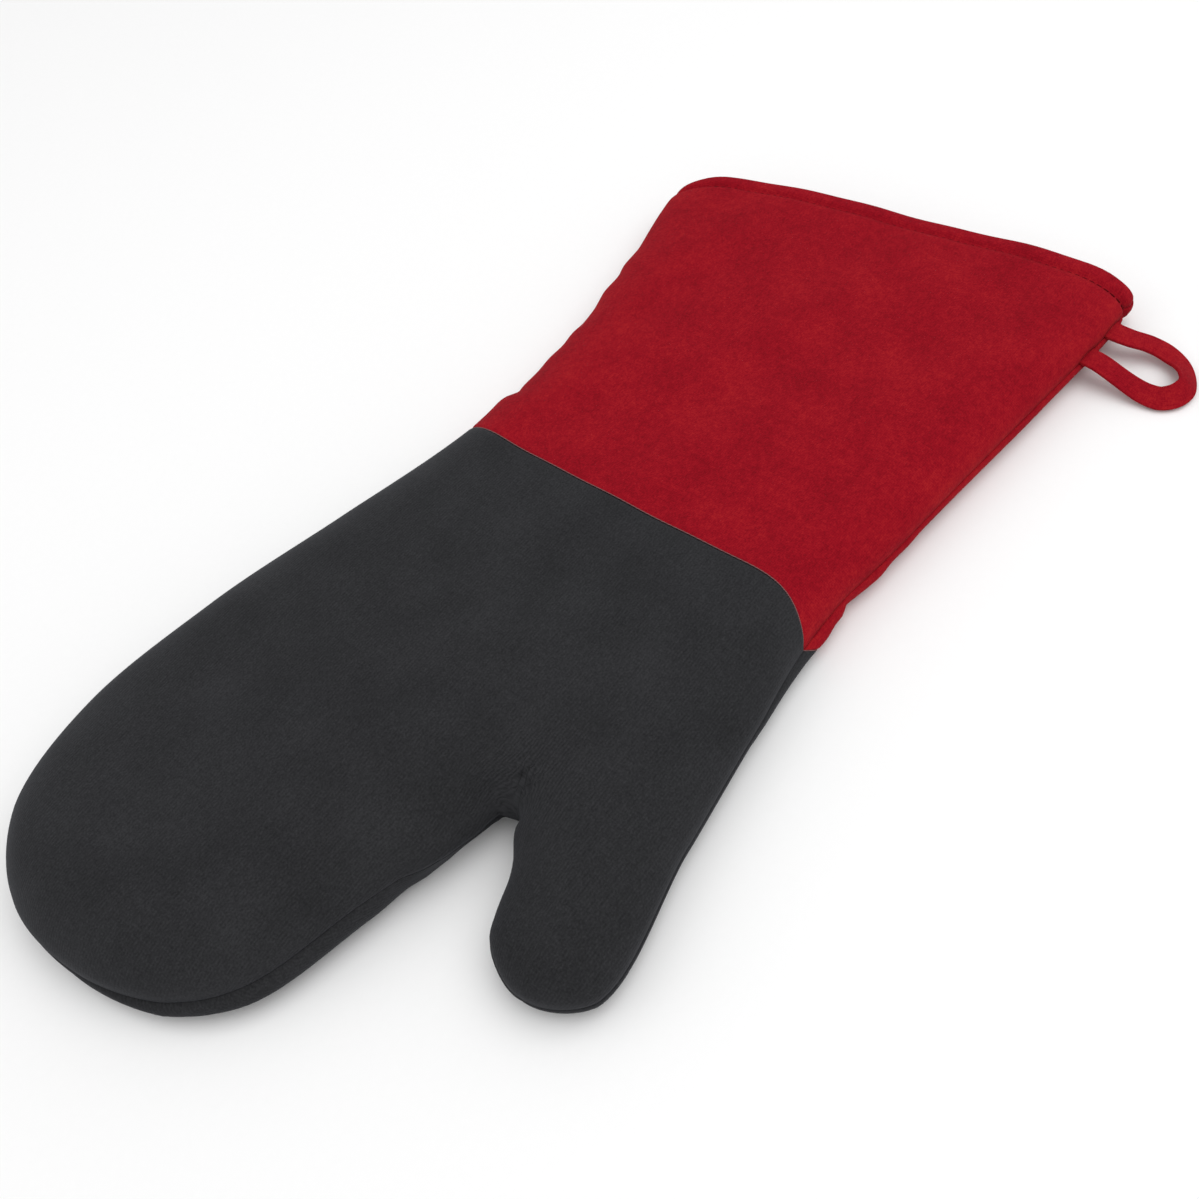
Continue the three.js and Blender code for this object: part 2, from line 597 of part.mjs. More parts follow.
/** Rings that round off one end of the tape about the line that it swings on. */
function roundedEnd(path, u) {
  const direction = u === 0 ? -1 : 1;
  const point = path.getPointAt(u);
  const along = path.getTangentAt(u);
  const across = new THREE.Vector3(along.y, -along.x, 0).normalize();
  const up = along.clone().cross(across).normalize();
  return ROUNDED_END.map((degrees) => {
    const angle = THREE.MathUtils.degToRad(degrees);
    const shifted = point.clone().addScaledVector(along, direction * tapeHalf * Math.sin(angle));
    return tapeRing(shifted, across, up, Math.cos(angle));
  });
}

/** The tape's section: a flat strip with its corners taken off. */
function tapeRing(point, wide, thick, thinness) {
  const halfWidth = LOOP_TAPE_WIDTH / 2;
  const corner = tapeHalf * 0.6;
  const section = [
    [halfWidth, tapeHalf - corner], [halfWidth - corner, tapeHalf],
    [-halfWidth + corner, tapeHalf], [-halfWidth, tapeHalf - corner],
    [-halfWidth, -tapeHalf + corner], [-halfWidth + corner, -tapeHalf],
    [halfWidth - corner, -tapeHalf], [halfWidth, -tapeHalf + corner],
  ];
  return section.map(([side, up]) => point.clone()
    .addScaledVector(wide, side)
    .addScaledVector(thick, up * thinness));
}

/** A block beside the loop's seat, turned to the side seam. */
function seatBlock(along, width, out, depth, bottom, top) {
  const geometry = new THREE.BoxGeometry(width, depth, top - bottom);
  const basis = new THREE.Matrix4().makeBasis(
    loopAlong, loopOutward.clone().negate(), new THREE.Vector3(0, 0, 1),
  );
  basis.setPosition(besideSeat(along, out - depth / 2, (top + bottom) / 2));
  return geometry.applyMatrix4(basis);
}

/** One end of the tape, sewn into the side seam, with a groove for the seam's thread. */
function loopEnd(solids, along) {
  const tab = seatBlock(along, LOOP_TAPE_WIDTH, 0, LOOP_END_DEPTH, -tapeHalf, tapeHalf);
  const groove = seatBlock(along, LOOP_TAPE_WIDTH + 2, GAP - cuffSeamInset + THREAD_RADIUS,
    2 * (THREAD_RADIUS + GAP), -THREAD_RADIUS - GAP, tapeHalf + 1);
  return solids.cut(tab, groove);
}

/** The slots through the cuff's side seam that the two ends of the tape pass through. */
function loopSlots() {
  return [-1, 1].map((side) => seatBlock(side * LOOP_SPACING / 2, LOOP_TAPE_WIDTH + 2 * GAP,
    1, CUFF_PANEL + 2, -tapeHalf - GAP, tapeHalf + GAP));
}

// ---- Cutting -------------------------------------------------------------------------------

/** Boolean cuts between closed geometries. */
async function makeSolids() {
  const wasm = await Module();
  wasm.setup();
  const toSolid = (geometry) => {
    const bare = geometry.clone();
    bare.deleteAttribute('normal');
    bare.deleteAttribute('uv');
    const merged = mergeVertices(bare, 1e-4);
    return new wasm.Manifold(new wasm.Mesh({
      numProp: 3,
      vertProperties: new Float32Array(merged.attributes.position.array),
      triVerts: new Uint32Array(merged.index.array),
    }));
  };
  const toGeometry = (solid) => {
    const mesh = solid.getMesh();
    const geometry = new THREE.BufferGeometry();
    geometry.setAttribute('position', new THREE.BufferAttribute(mesh.vertProperties, 3));
    geometry.setIndex(new THREE.BufferAttribute(mesh.triVerts, 1));
    geometry.computeVertexNormals();
    return geometry;
  };
  const cut = (body, ...tools) =>
    toGeometry(tools.reduce((solid, tool) => solid.subtract(toSolid(tool)), toSolid(body)));
  return { cut };
}

// ---- Materials and assembly ----------------------------------------------------------------

const cloth = (color, roughness = 0.9) => new THREE.MeshStandardMaterial({ color, roughness, metalness: 0 });
const shellCloth = cloth(0x2f3032, 0.8);
const cuffCloth = cloth(0x921723);
const waddingCloth = cloth(0xe6e1d6);
const liningCloth = cloth(0x3a3b3e);
const darkThread = cloth(0x28292b);
const redThread = cloth(0x7d121d);

const solids = await makeSolids();
const slots = loopSlots();
const parts = [
  ['hand_shell_top', handShell(true), shellCloth],
  ['hand_shell_bottom', handShell(false), shellCloth],
  ['cuff_panel_top', solids.cut(cuffPanel(true), ...slots), cuffCloth],
  ['cuff_panel_bottom', solids.cut(cuffPanel(false), ...slots), cuffCloth],
  ['wadding_top', fullLayer('wadding', true), waddingCloth],
  ['wadding_bottom', fullLayer('wadding', false), waddingCloth],
  ['lining_top', fullLayer('lining', true), liningCloth],
  ['lining_bottom', fullLayer('lining', false), liningCloth],
  ['hand_seam_thread', handSeamThread(), darkThread],
  ['join_seam_thread', joinThread(), darkThread],
  ['cuff_seam_thread_finger_side', cuffSeamThread(false), redThread],
  ['cuff_seam_thread_thumb_side', cuffSeamThread(true), redThread],
  ['hem_topstitch', hemStitches(), redThread],
  ['hanging_loop', hangingLoop(), cuffCloth],
  ['loop_end_front', loopEnd(solids, LOOP_SPACING / 2), cuffCloth],
  ['loop_end_back', loopEnd(solids, -LOOP_SPACING / 2), cuffCloth],
];

const mitt = new THREE.Group();
for (const [name, geometry, material] of parts) {
  const mesh = new THREE.Mesh(geometry, material);
  mesh.name = name;
  mitt.add(mesh);
}

const bounds = new THREE.Box3().setFromObject(mitt);
const middle = bounds.getCenter(new THREE.Vector3());
mitt.position.set(-middle.x, -middle.y, -bounds.min.z);

export default mitt;
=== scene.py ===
"""A long oven mitt that lies flat: two knitted hand shells, a red cuff, wadding, lining and a loop.

Each layer of the mitt is a grid of points laid out in plan and then lifted to its height over the
sewn edge. Lengths are in metres. Plan positions are measured from the middle of the join seam,
with the fingertips towards -X and the thumb towards -Y, and moved onto the frame at the end.
"""

import math

import bpy
import numpy as np
from bpy.props import FloatProperty, FloatVectorProperty, PointerProperty
from mathutils import Matrix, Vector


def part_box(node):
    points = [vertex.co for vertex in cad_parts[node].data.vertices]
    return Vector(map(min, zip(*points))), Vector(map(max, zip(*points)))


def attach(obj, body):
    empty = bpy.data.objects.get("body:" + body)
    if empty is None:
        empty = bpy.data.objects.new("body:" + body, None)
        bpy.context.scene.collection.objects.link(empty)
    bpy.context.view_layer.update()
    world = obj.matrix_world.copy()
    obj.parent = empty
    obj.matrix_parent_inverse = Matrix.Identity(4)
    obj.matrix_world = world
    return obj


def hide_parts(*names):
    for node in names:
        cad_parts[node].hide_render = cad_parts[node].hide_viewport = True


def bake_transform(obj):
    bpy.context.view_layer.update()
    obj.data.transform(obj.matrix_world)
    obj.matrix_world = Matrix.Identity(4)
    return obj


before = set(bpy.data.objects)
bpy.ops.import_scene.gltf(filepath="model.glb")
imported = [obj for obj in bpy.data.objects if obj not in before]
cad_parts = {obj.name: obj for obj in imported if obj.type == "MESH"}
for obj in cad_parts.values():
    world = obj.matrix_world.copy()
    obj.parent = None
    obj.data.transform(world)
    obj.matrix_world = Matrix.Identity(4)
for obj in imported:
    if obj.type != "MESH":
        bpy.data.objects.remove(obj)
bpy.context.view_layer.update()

bl_info = {
    "name": "Long Oven Mitt",
    "version": (1, 0, 0),
    "blender": (4, 5, 0),
    "location": "3D View > Sidebar > Oven Mitt",
    "description": "Builds the cloth pieces of a long oven mitt round its frame",
    "category": "Mesh",
}

MM = 0.001

# Plan sizes.
CUFF_LENGTH = 194 * MM
HAND_LENGTH = 240 * MM
OPENING_HALF = 101.5 * MM
WRIST_HALF = 86.5 * MM
LOBE_HALF = 72 * MM
LOBE_CENTRE = 47.5 * MM
THUMB_REACH = 163 * MM
THUMB_HALF = 24 * MM
THUMB_CENTRE = -77 * MM
NOTCH_REACH = 119 * MM
NOTCH_CENTRE = -44 * MM
NOTCH_HALF_WIDTH = 8 * MM
NOTCH_DEPTH = 12 * MM
JOIN_SLANT = 10 * MM
JOIN_LEVEL = 2 * MM
OPENING_SLANT = 8 * MM
OPENING_BOW = 3.4 * MM
FINGER_CORNER = 6.5 * MM
THUMB_CORNER = 2 * MM

# Heights of the sewn edge and of the fullest part of the upper side.
CUFF_SEAM = 10 * MM
LOBE_SEAM = 16 * MM
TIP_SEAM = 9 * MM
OPENING_CROWN = 23 * MM
WRIST_CROWN = 28 * MM
LOBE_CROWN = 33 * MM
TIP_CROWN = 29 * MM
THUMB_CROWN = 26 * MM

# Layers, as depths below the outer surface.
HAND_SHELL = 2.5 * MM
CUFF_CLOTH = 1.2 * MM
HAND_WADDING = 3.5 * MM
CUFF_WADDING = 2.5 * MM
LINING = 1 * MM
GAP = 0.3 * MM
SEAM_CHANNEL = 2.6 * MM
TAPER = 0.16
HEM_FOLD = CUFF_CLOTH * 2 + CUFF_WADDING + LINING + 3 * GAP   # depth of the flap's inner face
HEM_FOLD_SPREAD = 1.42                                        # how much faster a fold narrows

# Grid sizes.
OUTLINE_STEPS = 32
THUMB_COLUMNS = 30
LOBE_COLUMNS = 52
PALM_ROWS = 60
LOBE_ROWS = 76
THUMB_ROWS = 56
BODY_ROWS = 84
ROLL_STEPS = 14
NOTCH_SHARE = 0.36

# Hanging loop.
LOOP_FROM_OPENING = 26 * MM
LOOP_SPACING = 18 * MM
LOOP_REACH = 38 * MM
LOOP_HINGE_OUT = 1.6 * MM
LOOP_END_DEPTH = 3.5 * MM
LOOP_TWIST = 0.8
LOOP_LIFT = 0.2 * MM

SEAM_CORD_TRIM = 0.5 * MM   # the side seams' threads stop this far inside the opening
SEAM_CORD_RADIUS = 0.4 * MM
LOOP_STRAIGHT = 3 * MM      # the tape runs straight this far past the line it swings about
TIP_OVERSHOOT = 0.39 * MM   # the frame's outline runs this far past its fingertip point

# The sewn edge, from the opening's finger corner round the hand to its thumb corner. Each point is
# x, y, the height of the seam, how far the lower side bulges out past it, and how far the finished
# cloth settles outward from the cut line.
OUTLINE = {
    "openingFinger": (CUFF_LENGTH - OPENING_SLANT, OPENING_HALF, CUFF_SEAM, -0.6 * MM, 2.2 * MM),
    "cuffFingerOuter": (CUFF_LENGTH * 0.7, WRIST_HALF + 0.36 * 15 * MM, CUFF_SEAM, 0.2 * MM, 3.2 * MM),
    "cuffFingerInner": (CUFF_LENGTH * 0.35, WRIST_HALF - 3 * MM, CUFF_SEAM, 1.2 * MM, 1.6 * MM),
    "joinFinger": (JOIN_SLANT, WRIST_HALF, CUFF_SEAM, 1.2 * MM, 0.3 * MM),
    "palmFinger": (-NOTCH_REACH * 0.42, LOBE_CENTRE + LOBE_HALF * 0.69, CUFF_SEAM + 2 * MM, 1.5 * MM,
                   1.3 * MM),
    "lobeStartFinger": (-NOTCH_REACH * 0.92, LOBE_CENTRE + LOBE_HALF * 0.88, CUFF_SEAM + 3 * MM, 1.5 * MM,
                        0.7 * MM),
    "lobeWidest": (-HAND_LENGTH * 0.7, LOBE_CENTRE + LOBE_HALF, CUFF_SEAM + 2 * MM, 1.2 * MM, -0.6 * MM),
    "lobeShoulder": (-HAND_LENGTH * 0.88, LOBE_CENTRE + LOBE_HALF * 0.87, TIP_SEAM + 2 * MM, 0.4 * MM,
                     -1.3 * MM),
    "lobeTurn": (-HAND_LENGTH * 0.985, LOBE_CENTRE + LOBE_HALF * 0.5, TIP_SEAM, -0.8 * MM, -3.7 * MM),
    "fingertip": (-HAND_LENGTH, LOBE_CENTRE, TIP_SEAM, 0.2 * MM, -3.0 * MM),
    "lobeInnerTurn": (-HAND_LENGTH * 0.95, LOBE_CENTRE - LOBE_HALF * 0.49, TIP_SEAM + 1 * MM, 2.8 * MM,
                      -1.2 * MM),
    "lobeInnerShoulder": (-HAND_LENGTH * 0.87, LOBE_CENTRE - LOBE_HALF * 0.79, TIP_SEAM + 4 * MM, 3.2 * MM,
                          -1.6 * MM),
    "lobeInnerSide": (-HAND_LENGTH * 0.69, LOBE_CENTRE - LOBE_HALF, LOBE_SEAM, 1.6 * MM, -1.8 * MM),
    "notchLobeSide": (-NOTCH_REACH - NOTCH_DEPTH, NOTCH_CENTRE + NOTCH_HALF_WIDTH, LOBE_SEAM - 3 * MM,
                      -3.4 * MM, -2.4 * MM),
    "notch": (-NOTCH_REACH, NOTCH_CENTRE, CUFF_SEAM + 1 * MM, -4.0 * MM, -1.8 * MM),
    "notchThumbSide": (-NOTCH_REACH - NOTCH_DEPTH, NOTCH_CENTRE - NOTCH_HALF_WIDTH, CUFF_SEAM, -0.8 * MM,
                       -1.5 * MM),
    "thumbInner": (-THUMB_REACH + 10 * MM, THUMB_CENTRE + THUMB_HALF * 0.62, TIP_SEAM, 0.8 * MM, -0.5 * MM),
    "thumbTip": (-THUMB_REACH, THUMB_CENTRE - 5 * MM, TIP_SEAM, -0.4 * MM, -1.8 * MM),
    "thumbOuter": (-THUMB_REACH + 14 * MM, THUMB_CENTRE - THUMB_HALF, TIP_SEAM, 0, 1.2 * MM),
    "thumbStart": (-NOTCH_REACH * 0.8, THUMB_CENTRE - THUMB_HALF + 5 * MM, TIP_SEAM, -0.2 * MM, -0.6 * MM),
    "palmThumb": (-NOTCH_REACH * 0.42, -WRIST_HALF - 4 * MM, CUFF_SEAM, -0.2 * MM, -0.4 * MM),
    "joinThumb": (-JOIN_SLANT, -WRIST_HALF, CUFF_SEAM, 1.8 * MM, 0),
    "cuffThumbInner": (CUFF_LENGTH * 0.3, -WRIST_HALF - 0.2 * 15 * MM, CUFF_SEAM, 0.2 * MM, 0),
    "cuffThumbOuter": (CUFF_LENGTH * 0.65, -WRIST_HALF - 0.68 * 15 * MM, CUFF_SEAM, 0.8 * MM, 0),
    "openingThumb": (CUFF_LENGTH + OPENING_SLANT, -OPENING_HALF - 1.5 * MM, CUFF_SEAM, 0.4 * MM, 1.0 * MM),
}

# Gathers in the cuff's side seams: pairs of x and how far the cloth stands out there, in mm. Those
# at the notch are pairs of distance along the edge from it and how far the cloth stands out.
FINGER_GATHERS = ((-10, 0), (10, 0), (20, 0.6), (29, 1.7), (32, 0.4), (34.5, -2.6), (39, -1), (49, -0.9),
                  (58, 0.2), (67, -0.6), (76, 0.4), (80, -0.9), (92, -0.9), (104, 0.9), (115, -0.6),
                  (122, 0.7), (134, -0.7), (147, 0.8), (159, 1.8), (169, 2.5), (177, 1.2), (186, -0.5))
THUMB_GATHERS = ((-40, 0), (-22, -0.8), (-9, -1.4), (3, -1.6), (18, -1.5), (27, -0.5), (34, 0.2), (50, 1.2),
                 (70, 1.5), (110, 1.3), (140, 1.5), (160, 2), (175, 2.2), (190, 1.6), (202, 0.5))
NOTCH_PUCKERS = ((-40, 0.4), (-32, 2.6), (-23, 2.9), (-15, 1.6), (-10, 0), (-6, -2.2), (-2.4, -4.2),
                 (0, -1.8), (2.5, 1.6), (6, 1.5), (12, 0), (20, -0.7), (33, -0.8), (42, 0))
THUMB_LUMPS = ((-9, 0), (-1, 1), (4, 0.9), (7, 0.1), (11, 0.5), (14, 0.3), (16.5, -1.5), (21, -0.5),
               (27, 0), (34, 0.6), (42, -0.2), (52, 0.2), (60, 0))


def lerp(a, b, share):
    """The value a share of the way from a to b."""
    return a + (b - a) * share


def smoothstep(value, low, high):
    """0 below low and 1 above high, with 3t^2 - 2t^3 between."""
    share = np.clip((value - low) / (high - low), 0, 1)
    return share * share * (3 - 2 * share)


def unit(vectors):
    """The vectors at length 1."""
    return vectors / np.linalg.norm(vectors, axis=-1, keepdims=True)


# ---- The sewn edge -------------------------------------------------------------------------


def smooth_curve(points, steps):
    """Centripetal Catmull-Rom curve: on each span a cubic whose slopes at its two ends are
    differences weighted by the square roots of the neighbouring chords."""
    points = np.asarray(points, float)
    padded = np.vstack([2 * points[0] - points[1], points, 2 * points[-1] - points[-2]])
    p0, p1, p2, p3 = (padded[i:len(points) - 1 + i] for i in range(4))
    k0, k1, k2 = (np.sqrt(np.linalg.norm(b - a, axis=1))[:, None]
                  for a, b in ((p0, p1), (p1, p2), (p2, p3)))
    slope1 = ((p1 - p0) / k0 - (p2 - p0) / (k0 + k1) + (p2 - p1) / k1) * k1
    slope2 = ((p2 - p1) / k1 - (p3 - p1) / (k1 + k2) + (p3 - p2) / k2) * k1
    t = np.arange(steps)[:, None, None] / steps
    square = -3 * p1 + 3 * p2 - 2 * slope1 - slope2
    cube = 2 * p1 - 2 * p2 + slope1 + slope2
    curve = p1 + t * slope1 + t ** 2 * square + t ** 3 * cube
    return np.vstack([curve.transpose(1, 0, 2).reshape(-1, points.shape[1]), points[-1]])


def arc_lengths(line):
    return np.concatenate([[0], np.cumsum(np.linalg.norm(np.diff(line, axis=0), axis=1))])


POINT_NAMES = list(OUTLINE)
EDGE = smooth_curve([point[:3] for point in OUTLINE.values()], OUTLINE_STEPS)
EDGE_ARC = arc_lengths(EDGE)
EDGE_ALONG = unit(np.gradient(EDGE[:, :2], axis=0))
EDGE_OUTWARD = np.stack([EDGE_ALONG[:, 1], -EDGE_ALONG[:, 0]], axis=1)


def arc_at(name):
    return EDGE_ARC[POINT_NAMES.index(name) * OUTLINE_STEPS]


def sampled(values, arc):
    """Values given at each sample of the sewn edge, read at any arc lengths."""
    if values.ndim == 1:
        return np.interp(arc, EDGE_ARC, values)
    return np.stack([np.interp(arc, EDGE_ARC, column) for column in values.T], axis=-1)


def along_side(start, end, pairs):
    """Pairs of x and millimetres on one side of the mitt, as a value at each sample of the edge,
    zero elsewhere and smoothed over a few samples."""
    first, last = (POINT_NAMES.index(name) * OUTLINE_STEPS for name in (start, end))
    side = slice(first, last + 1)
    values = np.zeros(len(EDGE))
    at, size = np.array(pairs, float).T * MM
    values[side] = np.interp(EDGE[side, 0], at, size)
    window = np.hanning(5)
    return np.convolve(values, window / window.sum(), mode="same")


POINT_ARCS = [arc_at(name) for name in POINT_NAMES]
BULGE = (np.interp(EDGE_ARC, POINT_ARCS, [point[3] for point in OUTLINE.values()])
         + along_side("palmThumb", "openingThumb", THUMB_LUMPS))
SETTLING = (np.interp(EDGE_ARC, POINT_ARCS, [point[4] for point in OUTLINE.values()])
            + np.interp(EDGE_ARC - arc_at("notch"), *(np.array(NOTCH_PUCKERS).T * MM))
            + along_side("openingFinger", "palmFinger", FINGER_GATHERS)
            + along_side("palmThumb", "openingThumb", THUMB_GATHERS))


def rail(start, end, shares, inset):
    """Points at shares of the edge between two named points, moved in by inset along its normal."""
    arc = lerp(arc_at(start), arc_at(end), shares)
    points = sampled(EDGE, arc)
    points[:, :2] -= unit(sampled(EDGE_OUTWARD, arc)) * np.reshape(inset, (-1, 1))
    return points


def nearest_edge(plan, chunk=4000):
    """Distance to the sewn edge, arc length of the nearest place on it, and a smooth distance that
    has no ridge midway: the cube root of pi/2 over the edge's integral of 1/r^4."""
    spacing = np.gradient(EDGE_ARC)
    found = []
    for part in np.array_split(plan, max(1, len(plan) // chunk)):
        apart = part[:, None, :] - EDGE[None, :, :2]
        squares = (apart ** 2).sum(axis=2)
        near = squares.argmin(axis=1)
        gap = apart[np.arange(len(part)), near]
        along = (gap * EDGE_ALONG[near]).sum(axis=1)
        direct = np.sqrt(np.maximum((gap ** 2).sum(axis=1) - along ** 2, 0))
        pull = (spacing / np.maximum(squares, (2 * MM) ** 2) ** 2).sum(axis=1)
        smooth = np.cbrt(math.pi / 2 / pull)
        share = smoothstep(direct, 3 * MM, 14 * MM)
        found.append(np.stack([direct, EDGE_ARC[near] + along, lerp(direct, smooth, share)]))
    return np.concatenate(found, axis=1)


# ---- Grids in plan -------------------------------------------------------------------------


def crowded_shares(count):
    """Shares from 0 to 1 that follow a half cosine, closer together at both ends."""
    return (1 - np.cos(np.linspace(0, math.pi, count + 1))) / 2


THUMB_SHARES = crowded_shares(THUMB_COLUMNS)
LOBE_SHARES = crowded_shares(LOBE_COLUMNS)
FULL_SHARES = np.concatenate([THUMB_SHARES * NOTCH_SHARE, lerp(NOTCH_SHARE, 1, LOBE_SHARES[1:])])


def divided_crown(across):
    """The height of the fullest part where thumb and lobe part, from one to the other across."""
    return lerp(THUMB_CROWN, LOBE_CROWN, smoothstep(across, 0.1, 0.7))


def grid_between(start, end, shares, crown, along, side, height, both_edges=(1, 1)):
    """Straight rows from start to end: x, y and seam height are start + share * (end - start).
    The other columns are crown, whether on the edge, distance from the opening, and two insets."""
    grid = np.empty((len(start), len(shares), 8))
    grid[..., :3] = start[:, None] + shares[None, :, None] * (end - start)[:, None]
    grid[..., 3] = crown
    grid[..., 4] = 0
    grid[:, 0, 4], grid[:, -1, 4] = both_edges
    grid[..., 5] = np.reshape(along, (-1, 1))
    grid[..., 6] = np.reshape(side, (-1, 1))
    grid[..., 7] = np.reshape(height, (-1, 1))
    return grid


def join_shift(across):
    """How far the join seam lies from a straight line between its ends: a fourth power at the
    finger side and a 20th power at the thumb side, over a level middle."""
    finger_end = (JOIN_SLANT - JOIN_LEVEL) * across ** 4
    thumb_end = (JOIN_SLANT + JOIN_LEVEL) * (1 - across) ** 20
    return JOIN_LEVEL + finger_end - thumb_end - lerp(-JOIN_SLANT, JOIN_SLANT, across)


def cuff_grid(from_opening, side, height):
    """Rows across the cuff, inset along themselves. The opening bows out by a fourth power and stands
    out at its thumb corner, the join shifts as the join seam does, and the finger corner is drawn
    back along its edge by a 14th power across and a fifth power away from the opening."""
    u = np.clip(from_opening / CUFF_LENGTH, 0, 1)
    thumb = rail("openingThumb", "joinThumb", u, 0)
    finger = rail("openingFinger", "joinFinger", u, 0)
    share = (side / np.linalg.norm(finger - thumb, axis=1))[:, None]
    crown = lerp(OPENING_CROWN, WRIST_CROWN, u)[:, None]
    grid = grid_between(lerp(thumb, finger, share), lerp(finger, thumb, share), FULL_SHARES,
                        crown, from_opening, side, height)
    bow = OPENING_BOW * (1 - (2 * FULL_SHARES - 1) ** 4) + THUMB_CORNER * (1 - FULL_SHARES) ** 16
    grid[..., 0] += lerp(bow[None], join_shift(FULL_SHARES)[None], u[:, None])
    corner = FINGER_CORNER * FULL_SHARES[None] ** 14 * (1 - u[:, None]) ** 5
    grid[..., :2] += EDGE_ALONG[0] * corner[..., None]
    return grid


def palm_grid(u, side, height):
    """Rows across the palm, from the join seam to the notch, split where thumb and lobe part."""
    thumb = rail("joinThumb", "thumbStart", u, side)
    finger = rail("joinFinger", "lobeStartFinger", u, side)
    first = np.zeros(1)
    wrist = lerp(rail("joinThumb", "thumbStart", first, side),
                 rail("joinFinger", "lobeStartFinger", first, side), NOTCH_SHARE)
    middle = lerp(wrist, rail("notch", "fingertip", first, side), u[:, None])
    crown = lerp(WRIST_CROWN, divided_crown(FULL_SHARES)[None], smoothstep(u, 0, 1)[:, None])
    along = CUFF_LENGTH + u * NOTCH_REACH
    split = THUMB_COLUMNS
    thumb_part = grid_between(thumb, middle, THUMB_SHARES, crown[:, :split + 1], along, side, height, (1, 0))
    lobe_part = grid_between(middle, finger, LOBE_SHARES, crown[:, split:], along, side, height, (0, 1))
    grid = np.concatenate([thumb_part, lobe_part[:, 1:]], axis=1)
    grid[..., 0] += join_shift(FULL_SHARES)[None] * ((1 - u) ** 2)[:, None]
    grid[u == 1, split, 4] = 1
    return grid


def branch_grid(inner, outer, shares, crown, u, side, height):
    """Rows across the lobe or the thumb that close to a point at its tip."""
    along = CUFF_LENGTH + NOTCH_REACH + u * (HAND_LENGTH - NOTCH_REACH)
    grid = grid_between(inner, outer, shares, crown, along, side, height)
    grid[-1, :, 4] = 1
    return grid


def lobe_grid(side, height):
    """The finger lobe's rows, at the sine of even steps, so that they crowd towards the tip."""
    u = np.sin(np.linspace(0, math.pi / 2, LOBE_ROWS + 1))
    crown = lerp(divided_crown(lerp(NOTCH_SHARE, 1, LOBE_SHARES))[None], TIP_CROWN, u[:, None])
    return branch_grid(rail("notch", "fingertip", u, side), rail("lobeStartFinger", "fingertip", u, side),
                       LOBE_SHARES, crown, u, side, height)


def thumb_grid(side, height):
    """The thumb's rows, at the sine of even steps, so that they crowd towards the tip."""
    u = np.sin(np.linspace(0, math.pi / 2, THUMB_ROWS + 1))
    crown = lerp(divided_crown(THUMB_SHARES * NOTCH_SHARE)[None], THUMB_CROWN, u[:, None])
    return branch_grid(rail("thumbStart", "thumbTip", u, side), rail("notch", "thumbTip", u, side),
                       THUMB_SHARES, crown, u, side, height)


def strip_faces(index):
    """Quads between neighbouring rows of a grid of vertex numbers, facing up."""
    return np.stack([index[:-1, :-1], index[:-1, 1:], index[1:, 1:], index[1:, :-1]], axis=-1).reshape(-1, 4)


def sheet_of(main, branches=()):
    """The rows of a main grid, then each branch from a part of its last row to a single tip, as one
    table of points and its faces. A branch is its grid and the first and last column it starts at."""
    index = np.arange(main.shape[0] * main.shape[1]).reshape(main.shape[:2])
    tables, faces, count = [main.reshape(-1, 8)], [strip_faces(index)], index.size
    for grid, first, last in branches:
        inner = grid[1:-1]
        rows = count + np.arange(inner.shape[0] * inner.shape[1]).reshape(inner.shape[:2])
        tip = count + rows.size
        tables += [inner.reshape(-1, 8), grid[-1, :1]]
        faces.append(strip_faces(np.vstack([index[-1, first:last + 1], rows])))
        ends = rows[-1]
        faces.append(np.stack([ends[:-1], ends[1:], np.full(len(ends) - 1, tip)], axis=1))
        count = tip + 1
    return np.concatenate(tables), faces


def hand_branches(side, height):
    """The lobe and the thumb, each with the first and last palm column that it grows from."""
    return ((lobe_grid(side, height), THUMB_COLUMNS, THUMB_COLUMNS + LOBE_COLUMNS),
            (thumb_grid(side, height), 0, THUMB_COLUMNS))


# ---- Lifting a sheet to its height ---------------------------------------------------------


def arch(share):
    """A quarter circle: the square root of 1 - (1 - share)^2."""
    return np.sqrt(1 - (1 - np.clip(share, 0, 1)) ** 2)


def soft_waves(plan, sizes):
    """Long shallow waves of the lying cloth: sines along three slanting directions."""
    x, y = plan.T
    waves = (np.sin((x * 0.8 + y) * 2 * math.pi / 0.083 + 0.4)
             + 0.7 * np.sin((x - y * 0.55) * 2 * math.pi / 0.061 + 1.9)
             + 0.5 * np.sin((x * 0.35 + y * 1.1) * 2 * math.pi / 0.037 + 0.7))
    return sizes.wave * waves / 2.2


def loop_lips(arc, distance):
    """How far the side seam opens round the two ends of the hanging loop's tape."""
    seat = lerp(arc_at("openingThumb"), arc_at("joinThumb"), LOOP_FROM_OPENING / CUFF_LENGTH)
    near = sum(np.exp(-((arc - seat - k * LOOP_SPACING / 2) / (5 * MM)) ** 4) for k in (-1, 1))
    return 1.2 * MM * near * np.exp(-distance / (4 * MM))


